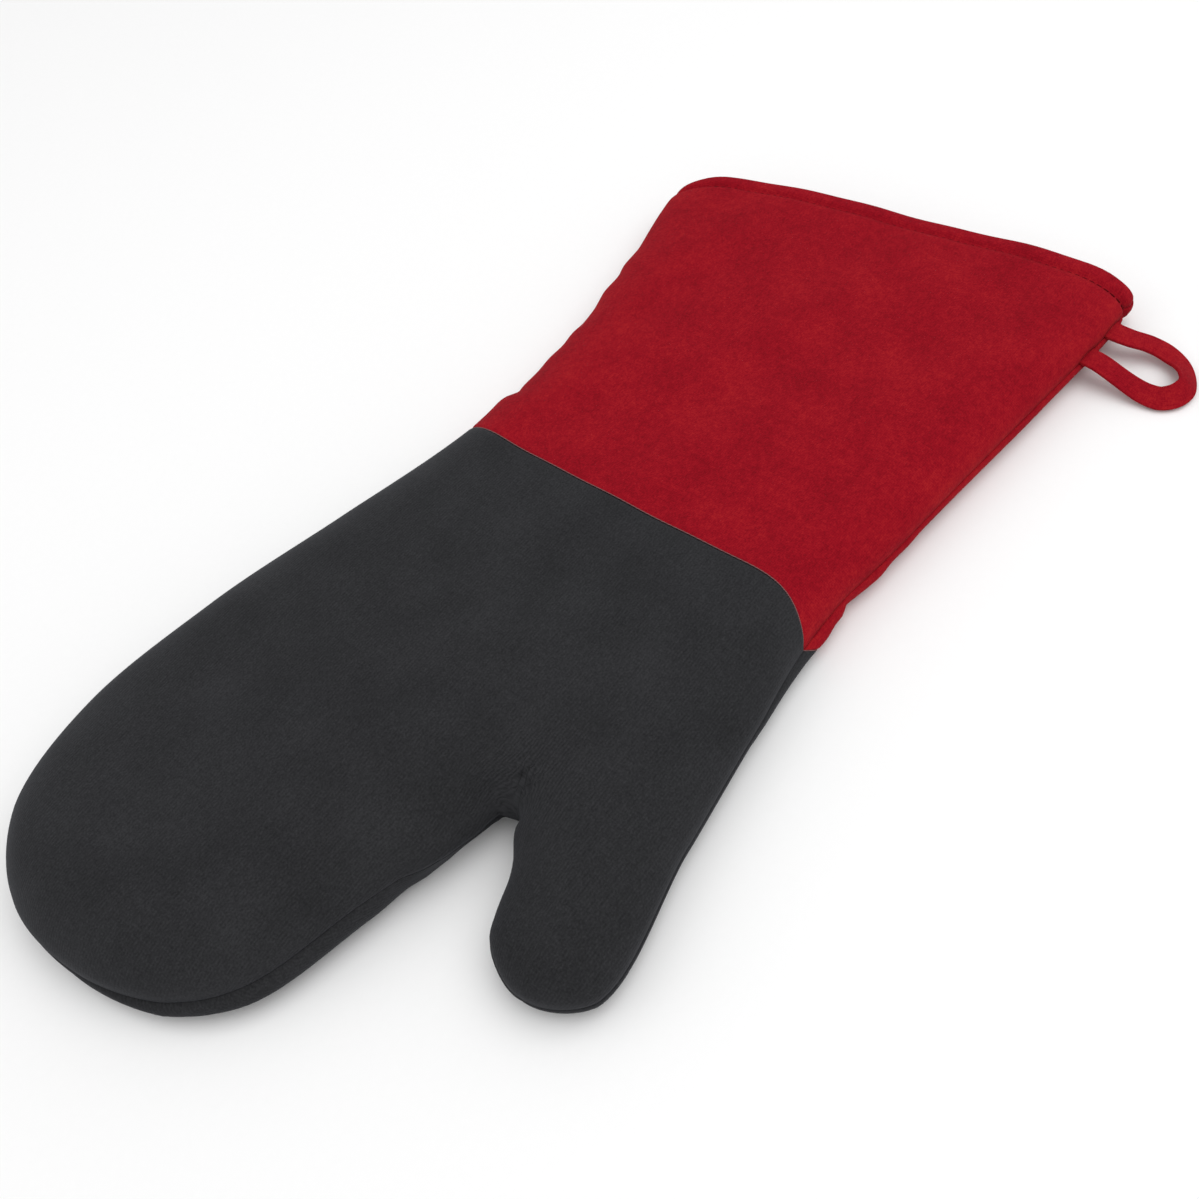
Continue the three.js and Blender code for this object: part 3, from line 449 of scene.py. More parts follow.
def lift(table, is_top, sizes):
    """Places plan points on the upper or the lower side of the mitt.

    Upper side: seam height + rise * (72% of a quarter circle as wide as the edge's rounding + 28%
    of one 2.5 times as wide). Lower side: a cubic curve from the seam, out past it by the bulge
    and down to the surface. Both sides swell out past the seam a little, which leaves a crease."""
    plan = table[:, :2]
    seam, crown, on_edge, along, side, height = table[:, 2:].T
    distance, arc, smooth = nearest_edge(plan)
    outward = unit(sampled(EDGE_OUTWARD, arc))
    depth = np.where(on_edge > 0, 0, np.maximum(distance - side, 0))
    rim = GAP / 2 + loop_lips(arc, distance)
    outer = np.clip(1 - height / HAND_SHELL, 0, 1)
    swell = sizes.crease * outer * (1 - np.exp(-depth / (0.9 * MM))) * np.exp(-depth / (5 * MM))
    swell = swell * smoothstep(along, 6 * MM, 34 * MM)
    moved = sampled(SETTLING, arc) * np.exp(-(distance / (13 * MM)) ** 2)
    wave = soft_waves(plan, sizes) * smoothstep(distance, 2 * MM, 40 * MM)
    if is_top:
        smooth = np.where(on_edge > 0, 0, np.maximum(smooth - side, 0))
        near, far = sizes.upper_round - height, 2.5 * sizes.upper_round - height
        roundness = 0.72 * arch(smooth / near) + 0.28 * arch(smooth / far)
        rise = crown - seam - height - rim
        z = seam + rim + rise * roundness + wave
        moved = moved + swell
        excess = 0.5 * rise * (1 - roundness) ** 1.5
    else:
        rounding = sizes.lower_round - height
        t = np.clip(depth / rounding, 0, 1)
        reach = 2.6 * sampled(BULGE, arc)
        inward = 3 * (1 - t) * t * (t * MM - (1 - t) * reach) + t ** 3 * rounding
        fall = seam - height - rim
        z = height + fall * ((1 - t) ** 3 + 3 * (1 - t) ** 2 * t * 0.6)
        moved = moved + np.where(t < 1, depth - inward, 0) + swell * 0.6
        excess = 0.5 * fall * (1 - t) ** 1.5
    points = np.column_stack([plan + outward * moved[:, None], z])
    cloth = plan + outward * excess[:, None]
    return points, cloth, distance


def onto_frame(points):
    """Moves plan positions onto the frame: the fingertip is the hand shell's lowest x, and the
    lobe's widest place its highest y."""
    low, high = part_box("hand_shell_top")
    return points + np.array([low.x + HAND_LENGTH + TIP_OVERSHOOT, high.y - LOBE_CENTRE - LOBE_HALF, 0])


# ---- Meshes --------------------------------------------------------------------------------


def new_piece(name, points, faces, material, cloth=None, seam_distance=None):
    """A mesh object at the origin from whole arrays of points and faces."""
    mesh = bpy.data.meshes.new(name)
    corners = np.concatenate([part.ravel() for part in faces]).astype(np.int32)
    counts = np.concatenate([np.full(len(part), part.shape[1]) for part in faces])
    starts = np.concatenate([[0], np.cumsum(counts)[:-1]]).astype(np.int32)
    mesh.vertices.add(len(points))
    mesh.vertices.foreach_set("co", onto_frame(points).astype(np.float32).ravel())
    mesh.loops.add(len(corners))
    mesh.loops.foreach_set("vertex_index", corners)
    mesh.polygons.add(len(counts))
    mesh.polygons.foreach_set("loop_start", starts)
    mesh.update(calc_edges=True)
    mesh.validate()
    if cloth is not None:
        layer = mesh.uv_layers.new(name="Cloth")
        layer.data.foreach_set("uv", cloth[corners].astype(np.float32).ravel())
    if seam_distance is not None:
        attribute = mesh.attributes.new("seam_distance", "FLOAT", "POINT")
        attribute.data.foreach_set("value", seam_distance.astype(np.float32))
    mesh.shade_smooth()
    mesh.materials.append(material)
    piece = bpy.data.objects.new(name, mesh)
    bpy.context.scene.collection.objects.link(piece)
    return piece


def rim_faces(faces, offset):
    """Quads that close the gap between a sheet and the one under it. An edge lies on the rim if no
    face runs along it the other way."""
    starts = np.concatenate([part.ravel() for part in faces])
    ends = np.concatenate([np.roll(part, -1, axis=1).ravel() for part in faces])
    alone = ~np.isin(starts * offset + ends, ends * offset + starts)
    a, b = starts[alone], ends[alone]
    return np.stack([b, a, a + offset, b + offset], axis=1)


def layer_piece(name, outer, inner, is_top, sizes, material):
    """A closed layer of cloth between an outer and an inner sheet that have the same faces."""
    (outer_table, faces), (inner_table, _) = outer, inner
    lifted = [lift(table, is_top, sizes) for table in (outer_table, inner_table)]
    points, cloth, distance = (np.concatenate(parts) for parts in zip(*lifted))
    offset = len(outer_table)
    closed = [*faces, *(part[:, ::-1] + offset for part in faces), rim_faces(faces, offset)]
    if not is_top:
        closed = [part[:, ::-1] for part in closed]
    return new_piece(name, points, closed, material, cloth, distance)


# ---- Layers --------------------------------------------------------------------------------


def hem_dip(from_opening, depth, sizes):
    """How far the hem's stitches pull a layer in: a bell round the stitch line, deepest in the
    outer cloth and turned round in the flap, which is pulled out towards it."""
    pull = lerp(sizes.hem_dip, -0.5 * sizes.hem_dip, depth / HEM_FOLD)
    return pull * np.exp(-((from_opening - sizes.hem_line) / (1.7 * MM)) ** 2)


def join_dip(from_join, deepest):
    """The cloth turns down into the join seam: a bell with its middle on the seam."""
    return deepest * np.exp(-(from_join / (0.9 * MM)) ** 2)


def hem_path(thickness, sizes):
    """Distances from the opening and depths along the cuff's cloth: from the join to the opening,
    round a half ellipse, and back along the inside to the flap's end."""
    near_join = CUFF_LENGTH - np.array([0.1, 0.35, 0.7, 1.1, 1.6, 2.3]) * MM
    hem_start = sizes.hem_line + 4.5 * MM
    body = np.linspace(CUFF_LENGTH - 3.4 * MM, hem_start, BODY_ROWS)
    turn = HEM_FOLD / 2
    hem = np.linspace(hem_start, turn, 22)[1:]
    straight = np.concatenate([near_join, body, hem])
    angle = np.linspace(0, math.pi, ROLL_STEPS + 1)[1:-1]
    roll = thickness + (turn - thickness) * (1 - np.sin(angle))
    flap = np.linspace(turn, sizes.hem_depth, 18)
    depth = np.concatenate([np.full(len(straight), thickness),
                            turn - (turn - thickness) * np.cos(angle),
                            np.full(len(flap), HEM_FOLD - thickness)])
    return np.concatenate([straight, roll, flap]), depth


def cuff_sheet(thickness, sizes):
    """A cuff cloth's outer or inner sheet, turned in at the hem and dipped along both seams."""
    from_opening, depth = hem_path(thickness, sizes)
    turned = depth + hem_dip(from_opening, depth, sizes)
    turned = turned + join_dip(CUFF_LENGTH - from_opening, 0.35 * MM)
    return sheet_of(cuff_grid(from_opening, np.maximum(turned, 0) * HEM_FOLD_SPREAD, turned))


def shell_sheet(thickness):
    """A hand shell's outer or inner sheet: the palm's rows, closer near the join, and both branches."""
    near_join = np.array([0.1, 0.35, 0.7, 1.1, 1.6, 2.3]) * MM / NOTCH_REACH
    u = np.concatenate([near_join, np.linspace(3.4 * MM / NOTCH_REACH, 1, PALM_ROWS)])
    dip = join_dip(u * NOTCH_REACH, 0.8 * MM)
    main = palm_grid(u, thickness, thickness)
    main[..., 7] += dip[:, None]
    return sheet_of(main, hand_branches(thickness, thickness))


def inner_depths(layer, shell, wadding):
    """Inset from the side and in height of one face of an inner layer."""
    height = shell + GAP + {"wadding_outer": 0, "wadding_inner": wadding,
                            "lining_outer": wadding + GAP,
                            "lining_inner": wadding + GAP + LINING}[layer]
    return np.array([height + SEAM_CHANNEL - GAP, height])


def full_sheet(layer, sizes):
    """An inner layer over the whole length of the mitt; it starts a little inside the hem."""
    cuff = inner_depths(layer, CUFF_CLOTH, CUFF_WADDING)
    hand = inner_depths(layer, HAND_SHELL, HAND_WADDING)
    start = CUFF_CLOTH + 3 * GAP
    from_opening = np.concatenate([np.linspace(start, sizes.hem_line + 4.5 * MM, 26),
                                   np.linspace(sizes.hem_line + 6.5 * MM, CUFF_LENGTH, 60)])
    share = smoothstep(from_opening / CUFF_LENGTH, 1 - TAPER, 1)[:, None]
    side, height = (lerp(cuff[None], hand[None], share)
                    + hem_dip(from_opening, cuff[1], sizes)[:, None]).T
    main = np.concatenate([cuff_grid(from_opening, side, height),
                           palm_grid(np.linspace(0, 1, PALM_ROWS)[1:], *hand)])
    return sheet_of(main, hand_branches(*hand))


def across_line(from_opening, depth, is_top, sizes):
    """A line across the cuff on one side of it, with the outward direction at each point."""
    stations = from_opening + np.array([0, 1 * MM])
    grid = cuff_grid(stations, np.full(2, depth), np.full(2, depth))
    points = lift(grid.reshape(-1, 8), is_top, sizes)[0].reshape(2, -1, 3)
    normal = unit(np.cross(np.gradient(points[0], axis=0), points[0] - points[1]))
    return points[0], normal if is_top else -normal


def cuff_ring(from_opening, depth, sizes):
    """The line right round the cuff: over the upper side and back under the lower side."""
    top, top_out = across_line(from_opening, depth, True, sizes)
    low, low_out = across_line(from_opening, depth, False, sizes)
    return np.concatenate([top, low[::-1]]), np.concatenate([top_out, low_out[::-1]])


# ---- Threads and tape ----------------------------------------------------------------------


def resampled(line, values, spacing):
    """Points spaced evenly along a line, and the values that belong to them."""
    arc = arc_lengths(line)
    at = np.arange(spacing / 2, arc[-1], spacing)
    pick = lambda table: np.stack([np.interp(at, arc, column) for column in table.T], axis=-1)
    return pick(line), unit(pick(values)), unit(pick(np.gradient(line, axis=0)))


def capsule(length, radius, sides, rings):
    """A round stitch lying along x: radius falls to nothing at both ends as a half ellipse."""
    t = np.cos(np.linspace(math.pi, 0, rings))
    angle = np.arange(sides) * 2 * math.pi / sides
    size = radius * np.sqrt(1 - t ** 2)[1:-1, None]
    x = np.repeat((t * length / 2)[1:-1], sides)
    body = np.column_stack([x, (size * np.cos(angle)).ravel(), (size * np.sin(angle)).ravel()])
    points = np.vstack([body, [-length / 2, 0, 0], [length / 2, 0, 0]])
    index = np.arange(len(body)).reshape(-1, sides)
    around = np.roll(index, -1, axis=1)
    quads = np.stack([index[:-1], around[:-1], around[1:], index[1:]], axis=-1).reshape(-1, 4)
    first = np.stack([around[0], index[0], np.full(sides, len(body))], axis=1)
    last = np.stack([index[-1], around[-1], np.full(sides, len(body) + 1)], axis=1)
    return points, [quads, first, last]


def row_of_stitches(line, out, pitch, length, radius):
    """The same stitch laid at every pitch along a line, its top just above the cloth."""
    at, up, along = resampled(line, out, pitch)
    sideways = unit(np.cross(up, along))
    shape, faces = capsule(length, radius, 6, 6)
    x, y, z = (shape[None, :, k:k + 1] for k in range(3))
    points = at[:, None] + x * along[:, None] + y * sideways[:, None] + z * up[:, None]
    step = (np.arange(len(at)) * len(shape))[:, None, None]
    placed = [(part[None] + step).reshape(-1, part.shape[1]) for part in faces]
    return points.reshape(-1, 3), placed


def swept(rings, closed):
    """Faces of a tube through rings of points, with a flat cap at each end unless it is closed."""
    count, sides = rings.shape[:2]
    index = np.arange(count * sides).reshape(count, sides)
    after = np.roll(index, -1, axis=0) if closed else index[1:]
    before = index if closed else index[:-1]
    side = lambda rows: np.roll(rows, -1, axis=1)
    faces = [np.stack([before, side(before), side(after), after], axis=-1).reshape(-1, 4)]
    if not closed:
        faces += [index[:1, ::-1], index[-1:]]
    return rings.reshape(-1, 3), faces


def round_cord(line, out, radius, closed, sides=8):
    """A cord: at each point a circle across the line, from its outward direction."""
    ahead, behind = np.roll(line, -1, axis=0), np.roll(line, 1, axis=0)
    if not closed:
        ahead[-1], behind[0] = line[-1], line[0]
    along = unit(ahead - behind)
    sideways = unit(np.cross(out, along))
    up = np.cross(along, sideways)
    angle = np.arange(sides) * 2 * math.pi / sides
    rings = (line[:, None] + radius * (np.cos(angle)[None, :, None] * sideways[:, None]
                                       + np.sin(angle)[None, :, None] * up[:, None]))
    return swept(rings, closed)


def seam_cord(start, end, cloth):
    """The thread that lies inside the sewn edge between two named points, behind the cloth."""
    inset = cloth + GAP + SEAM_CORD_RADIUS
    first = max(arc_at(start), FINGER_CORNER + SEAM_CORD_TRIM)
    last = min(arc_at(end), EDGE_ARC[-1] - SEAM_CORD_TRIM)
    arc = np.linspace(first, last, round((last - first) / (2 * MM)))
    out = unit(sampled(EDGE_OUTWARD, arc))
    shift = sampled(SETTLING, arc) * math.exp(-(inset / (13 * MM)) ** 2) - inset
    line = sampled(EDGE, arc)
    line[:, :2] += out * shift[:, None]
    return round_cord(line, np.column_stack([out, 0 * arc]), SEAM_CORD_RADIUS, False)


def loop_seat():
    """The middle of the loop's place on the side seam, and the directions along it and out."""
    arc = lerp(arc_at("openingThumb"), arc_at("joinThumb"), LOOP_FROM_OPENING / CUFF_LENGTH)
    seat = sampled(EDGE, np.array([arc]))[0]
    out = np.append(unit(sampled(EDGE_OUTWARD, np.array([arc])))[0], 0)
    return seat, np.array([-out[1], out[0], 0]), out


def tape_lean(line):
    """The tape leans over at its far end: the twist times sin^8 of its share of the line."""
    arc = arc_lengths(line)
    return LOOP_TWIST * np.sin(math.pi * arc / arc[-1]) ** 8


def loop_line(sizes):
    """The tape's centre line. It sinks from the seam until its lower edge nearly rests on the floor."""
    half = LOOP_SPACING / 2
    straight = LOOP_HINGE_OUT + LOOP_STRAIGHT
    bends = ((1.1, 0.27), (1.46, 0.46), (1.58, 0.62), (1.38, 0.79), (0.78, 0.95), (0.12, 1.03), (-0.5, 1),
             (-0.88, 0.9), (-0.98, 0.75), (-1, 0.56), (-1, 0.39), (-0.98, 0.2))
    plan = ((half, -LOOP_END_DEPTH), (half, LOOP_HINGE_OUT), (half * 0.96, straight),
            *((half * along, LOOP_REACH * away) for along, away in bends),
            (-half, LOOP_HINGE_OUT), (-half, -LOOP_END_DEPTH))
    seat, side, out = loop_seat()
    along, away = np.array(plan).T
    line = smooth_curve(np.column_stack([along, away]), 16)
    lean = tape_lean(line)
    resting = (sizes.tape_width * np.sin(lean) + sizes.tape_thickness * np.cos(lean)) / 2 + LOOP_LIFT
    height = lerp(seat[2], resting, smoothstep(line[:, 1], LOOP_HINGE_OUT, 36 * MM))
    level = seat * [1, 1, 0] + line[:, :1] * side + line[:, 1:] * out
    return level + height[:, None] * [0, 0, 1]


def tape_rings(sizes, sides=32):
    """The tape's sections: a flattened superellipse with a sunk stitch line along each edge."""
    line = loop_line(sizes)
    share = arc_lengths(line) / arc_lengths(line)[-1]
    along = unit(np.gradient(line, axis=0))
    across = unit(np.stack([along[:, 1], -along[:, 0], 0 * along[:, 0]], axis=1))
    up = np.cross(along, across)
    lean = tape_lean(line)[:, None]
    wide = across * np.cos(lean) - up * np.sin(lean)
    thick = np.cross(along, wide)
    angle = np.arange(sides) * 2 * math.pi / sides
    rounded = lambda wave, power: np.sign(wave) * np.abs(wave) ** power
    x = sizes.tape_width / 2 * rounded(np.cos(angle), 0.45)
    edge_line = sizes.tape_width / 2 - 1.3 * MM
    sunk = 1 - 0.28 * np.exp(-((np.abs(x) - edge_line) / (0.6 * MM)) ** 2)
    y = sizes.tape_thickness / 2 * rounded(np.sin(angle), 0.6) * sunk
    rings = line[:, None] + x[None, :, None] * wide[:, None] + y[None, :, None] * thick[:, None]
    cloth = np.stack([np.repeat(share * arc_lengths(line)[-1], sides), np.tile(x + 0 * y, len(line))], axis=1)
    return rings, cloth


# ---- Materials -----------------------------------------------------------------------------


class Finish:
    """A new material with its shader, and short calls that add and link nodes."""

    def __init__(self, name, roughness=0.9, sheen=0.0, sheen_tint=(1, 1, 1), specular=0.3):
        self.material = bpy.data.materials.new(name)
        self.material.use_nodes = True
        self.tree = self.material.node_tree
        self.shader = self.tree.nodes["Principled BSDF"]
        self.shader.inputs["Roughness"].default_value = roughness
        self.shader.inputs["Specular IOR Level"].default_value = specular
        self.shader.inputs["Sheen Weight"].default_value = sheen
        self.shader.inputs["Sheen Roughness"].default_value = 0.5
        self.shader.inputs["Sheen Tint"].default_value = (*sheen_tint, 1)

    def node(self, kind, links=None, values=None, **settings):
        made = self.tree.nodes.new("ShaderNode" + kind)
        for key, value in settings.items():
            setattr(made, key, value)
        for key, value in (values or {}).items():
            made.inputs[key].default_value = value
        for key, source in (links or {}).items():
            self.tree.links.new(source, made.inputs[key])
        return made

    def coordinates(self, output, turn=0.0):
        place = self.node("TexCoord").outputs[output]
        mapping = self.node("Mapping", {"Vector": place})
        mapping.inputs["Rotation"].default_value = (0, 0, turn)
        return mapping.outputs["Vector"]

    def noise(self, place, size, detail=2.0, roughness=0.5):
        found = self.node("TexNoise", {"Vector": place},
                          {"Scale": 1 / size, "Detail": detail, "Roughness": roughness})
        return found.outputs["Fac"]

    def ribs(self, place, pitch, direction="X", distortion=0.0):
        """Even ribs a pitch apart; a wave texture's band repeats every pi / 10 at scale 1."""
        found = self.node("TexWave", {"Vector": place},
                          {"Scale": math.pi / 10 / pitch, "Distortion": distortion, "Detail": 1.0},
                          bands_direction=direction)
        return found.outputs["Fac"]

    def math(self, operation, first, second):
        made = self.node("Math", operation=operation)
        for socket, value in zip(made.inputs, (first, second)):
            if isinstance(value, (int, float)):
                socket.default_value = value
            else:
                self.tree.links.new(value, socket)
        return made.outputs[0]

    def total(self, *parts):
        """The weighted sum of (weight, value) pairs."""
        weighted = [self.math("MULTIPLY", value, weight) for weight, value in parts]
        result = weighted[0]
        for value in weighted[1:]:
            result = self.math("ADD", result, value)
        return result

    def ramp(self, factor, *stops):
        made = self.node("ValToRGB", {"Fac": factor})
        elements = made.color_ramp.elements
        while len(elements) < len(stops):
            elements.new(0.5)
        for element, (position, colour) in zip(elements, stops):
            element.position = position
            element.color = (*colour, 1)
        return made.outputs["Color"]

    def painted_sheen_near_seam(self, reach):
        """1 at the sewn edge, falling to 0 a reach in from it: the mask of the painted sheen that lightens
        the cloth along its seams.
        """
        distance = self.node("Attribute", attribute_name="seam_distance").outputs["Fac"]
        made = self.node("MapRange", {"Value": distance}, {"From Max": reach, "To Min": 1, "To Max": 0},
                         interpolation_type="SMOOTHSTEP")
        return made.outputs["Result"]

    def near_point(self, place, reach):
        """1 at a point of the plan, falling to 0 a reach away from it."""
        x, y, _ = onto_frame(np.array([*place, 0]))
        apart = self.node("VectorMath", {0: self.node("TexCoord").outputs["Object"]}, {1: (x, y, 0.02)},
                          operation="DISTANCE")
        made = self.node("MapRange", {"Value": apart.outputs["Value"]},
                         {"From Max": reach, "To Min": 1, "To Max": 0}, interpolation_type="SMOOTHSTEP")
        return made.outputs["Result"]

    def finished(self, colour, height, depth, strength=0.6):
        bump = self.node("Bump", {"Height": height}, {"Strength": strength, "Distance": depth})
        self.tree.links.new(colour, self.shader.inputs["Base Color"])
        self.tree.links.new(bump.outputs["Normal"], self.shader.inputs["Normal"])
        return self.material


def shaded(colour, factor):
    """The colour, darker or lighter by a factor."""
    return tuple(channel * factor for channel in colour)


def knit_finish(colours):
    """Dense dark twill: ribs along the mitt broken by the yarn, cloudy wear, and a painted sheen that
    lightens it near the sewn edge.
    """
    finish = Finish("knit", roughness=0.85, sheen=0.05, sheen_tint=(0.85, 0.88, 1.0), specular=0.08)
    place = finish.coordinates("UV")
    rib = finish.ribs(place, 1.2 * MM, "Y", distortion=1.6)
    grain = finish.noise(place, 0.8 * MM, detail=2, roughness=0.6)
    tuft = finish.noise(place, 2.2 * MM, detail=2)
    cloud = finish.noise(finish.coordinates("Object"), 24 * MM, detail=3)
    strain = finish.near_point((-NOTCH_REACH + 14 * MM, NOTCH_CENTRE), 28 * MM)
    strained = finish.math("MULTIPLY", rib, strain)
    tone = finish.total((0.05, rib), (0.5, grain), (0.21, tuft), (0.24, cloud))
    # Painted sheen: the tone is lifted within 7 mm of the sewn edge, where light catches the rounded rim.
    tone = finish.math("ADD", tone, finish.total((0.04, finish.painted_sheen_near_seam(7 * MM)), (0.09, strained)))
    dark = colours.knit
    colour = finish.ramp(tone, (0.36, shaded(dark, 0.66)), (0.5, dark), (0.64, shaded(dark, 1.45)))
    height = finish.total((0.22, rib), (0.6, strained), (0.7, grain), (0.4, tuft))
    return finish.finished(colour, height, 0.25 * MM)


def cloth_finish(colours, name="cuff_cloth"):
    """Plain-woven cotton: warp and weft ribs, slubs in the yarn, cloudy dye, and a painted sheen that turns
    it lighter and more orange near the sewn edge.
    """
    finish = Finish(name, roughness=0.9, sheen=0.02, sheen_tint=(1, 0.5, 0.45), specular=0.04)
    place = finish.coordinates("UV")
    warp = finish.ribs(place, 0.8 * MM, "X", distortion=0.8)
    weft = finish.ribs(place, 0.8 * MM, "Y", distortion=0.8)
    weave = finish.math("MAXIMUM", warp, weft)
    slub = finish.noise(place, 0.9 * MM, detail=2, roughness=0.6)
    mottle = finish.noise(place, 3.2 * MM, detail=3, roughness=0.6)
    cloud = finish.noise(finish.coordinates("Object"), 20 * MM, detail=2)
    tone = finish.total((0.06, weave), (0.42, slub), (0.3, mottle), (0.22, cloud))
    # Painted sheen: the tone is lifted towards orange within 9 mm of the sewn edge, where light catches the
    # rounded seams.
    tone = finish.math("ADD", tone, finish.total((0.04, finish.painted_sheen_near_seam(9 * MM))))
    red = colours.cuff
    orange = (red[0] * 1.28, red[1] * 2.6, red[2] * 1.3)
    colour = finish.ramp(tone, (0.38, shaded(red, 0.7)), (0.52, red), (0.66, orange))
    height = finish.total((0.5, weave), (0.6, slub), (0.6, mottle))
    return finish.finished(colour, height, 0.25 * MM)


def lining_finish(colours):
    """Thin woven lining with a fine rib."""
    finish = Finish("lining", roughness=0.85, sheen=0.1)
    place = finish.coordinates("UV")
    warp, weft = (finish.ribs(place, 0.7 * MM, direction, 0.5) for direction in "XY")
    weave = finish.math("MAXIMUM", warp, weft)
    slub = finish.noise(place, 2 * MM, detail=3)
    tone = finish.total((0.3, weave), (0.7, slub))
    colour = finish.ramp(tone, (0.3, shaded(colours.lining, 0.75)), (0.7, shaded(colours.lining, 1.25)))
    return finish.finished(colour, tone, 0.15 * MM)


def wadding_finish(colours):
    """Loose off-white fibres."""
    finish = Finish("wadding", roughness=0.95, sheen=0.2)
    place = finish.coordinates("Object")
    fibre = finish.noise(place, 1.5 * MM, detail=5, roughness=0.7)
    colour = finish.ramp(fibre, (0.3, shaded(colours.wadding, 0.8)), (0.7, colours.wadding))
    return finish.finished(colour, fibre, 0.5 * MM)


def thread_finish(name, colour):
    """Twisted sewing thread: slanting ribs across it."""
    finish = Finish(name, roughness=0.8, specular=0.08)
    place = finish.coordinates("Object", turn=math.radians(30))
    twist = finish.ribs(place, 0.5 * MM, "DIAGONAL", 0.4)
    tone = finish.ramp(twist, (0.2, shaded(colour, 0.7)), (0.8, shaded(colour, 1.15)))
    return finish.finished(tone, twist, 0.08 * MM)


def floor_finish(colours):
    """Plain pale floor with a faint grain."""
    finish = Finish("floor", roughness=0.9)
    place = finish.coordinates("Object")
    grain = finish.noise(place, 3 * MM, detail=2)
    colour = finish.ramp(grain, (0, shaded(colours.floor, 0.985)), (1, colours.floor))
    return finish.finished(colour, grain, 0.02 * MM, strength=0.1)


# ---- Add-on classes ------------------------------------------------------------------------


class MittSizes(bpy.types.PropertyGroup):
    """Sizes that a maker of the mitt would change."""

    upper_round: FloatProperty(
        name="Upper rounding", description="How far in from the seam the upper side rounds off",
        default=24 * MM, min=10 * MM, unit="LENGTH")
    lower_round: FloatProperty(
        name="Lower rounding", description="How far in from the seam the lower side rounds off",
        default=14 * MM, min=8 * MM, unit="LENGTH")
    crease: FloatProperty(
        name="Seam crease", description="How far the cloth swells out past its seam",
        default=1.2 * MM, min=0, unit="LENGTH")
    wave: FloatProperty(
        name="Soft waves", description="Height of the long waves in the lying cloth",
        default=0.8 * MM, min=0, unit="LENGTH")
    hem_line: FloatProperty(
        name="Hem stitch line", description="Distance from the opening to the hem's stitches",
        default=8.5 * MM, min=5 * MM, unit="LENGTH")
    hem_depth: FloatProperty(
        name="Hem depth", description="How far the cuff's cloth is turned in",
        default=12.5 * MM, min=8 * MM, unit="LENGTH")
    hem_dip: FloatProperty(
        name="Hem dip", description="How deep the hem's stitches sink into the cloth",
        default=1.5 * MM, min=0, unit="LENGTH")
    stitch_pitch: FloatProperty(
        name="Stitch pitch", description="Distance from one hem stitch to the next",
        default=3.2 * MM, min=1 * MM, unit="LENGTH")
    tape_width: FloatProperty(
        name="Tape width", description="Width of the hanging loop's tape",
        default=9.4 * MM, min=3 * MM, unit="LENGTH")
    tape_thickness: FloatProperty(
        name="Tape thickness", description="Thickness of the hanging loop's folded tape",
        default=2.2 * MM, min=1 * MM, unit="LENGTH")


class MittColours(bpy.types.PropertyGroup):
    """Colours of the mitt's cloths and of the floor."""

    knit: FloatVectorProperty(
        name="Knit", description="Dark knit of the hand", subtype="COLOR",
        default=(0.0212, 0.0214, 0.0230), min=0, max=1)
    cuff: FloatVectorProperty(
        name="Cuff cloth", description="Red cotton of the cuff and the loop", subtype="COLOR",
        default=(0.272, 0.0045, 0.0122), min=0, max=1)
    lining: FloatVectorProperty(
        name="Lining", description="Thin cloth next to the hand", subtype="COLOR",
        default=(0.045, 0.046, 0.05), min=0, max=1)
    wadding: FloatVectorProperty(
        name="Wadding", description="Fibre filling between shell and lining", subtype="COLOR",
        default=(0.72, 0.69, 0.62), min=0, max=1)
    # The join thread's pale pinkish colour is a painted highlight: a real thread, coloured to stand in for
    # light catching the red and black boundary.
    join_thread_highlight: FloatVectorProperty(
        name="Join thread", description="Pale thread in the seam between hand and cuff", subtype="COLOR",
        default=(0.20, 0.09, 0.09), min=0, max=1)
    floor: FloatVectorProperty(
        name="Floor", description="Plain pale floor", subtype="COLOR",
        default=(0.93, 0.93, 0.93), min=0, max=1)


def settings(context):
    """The sizes and the colours that the panel shows."""
    return context.scene.mitt_sizes, context.scene.mitt_colours


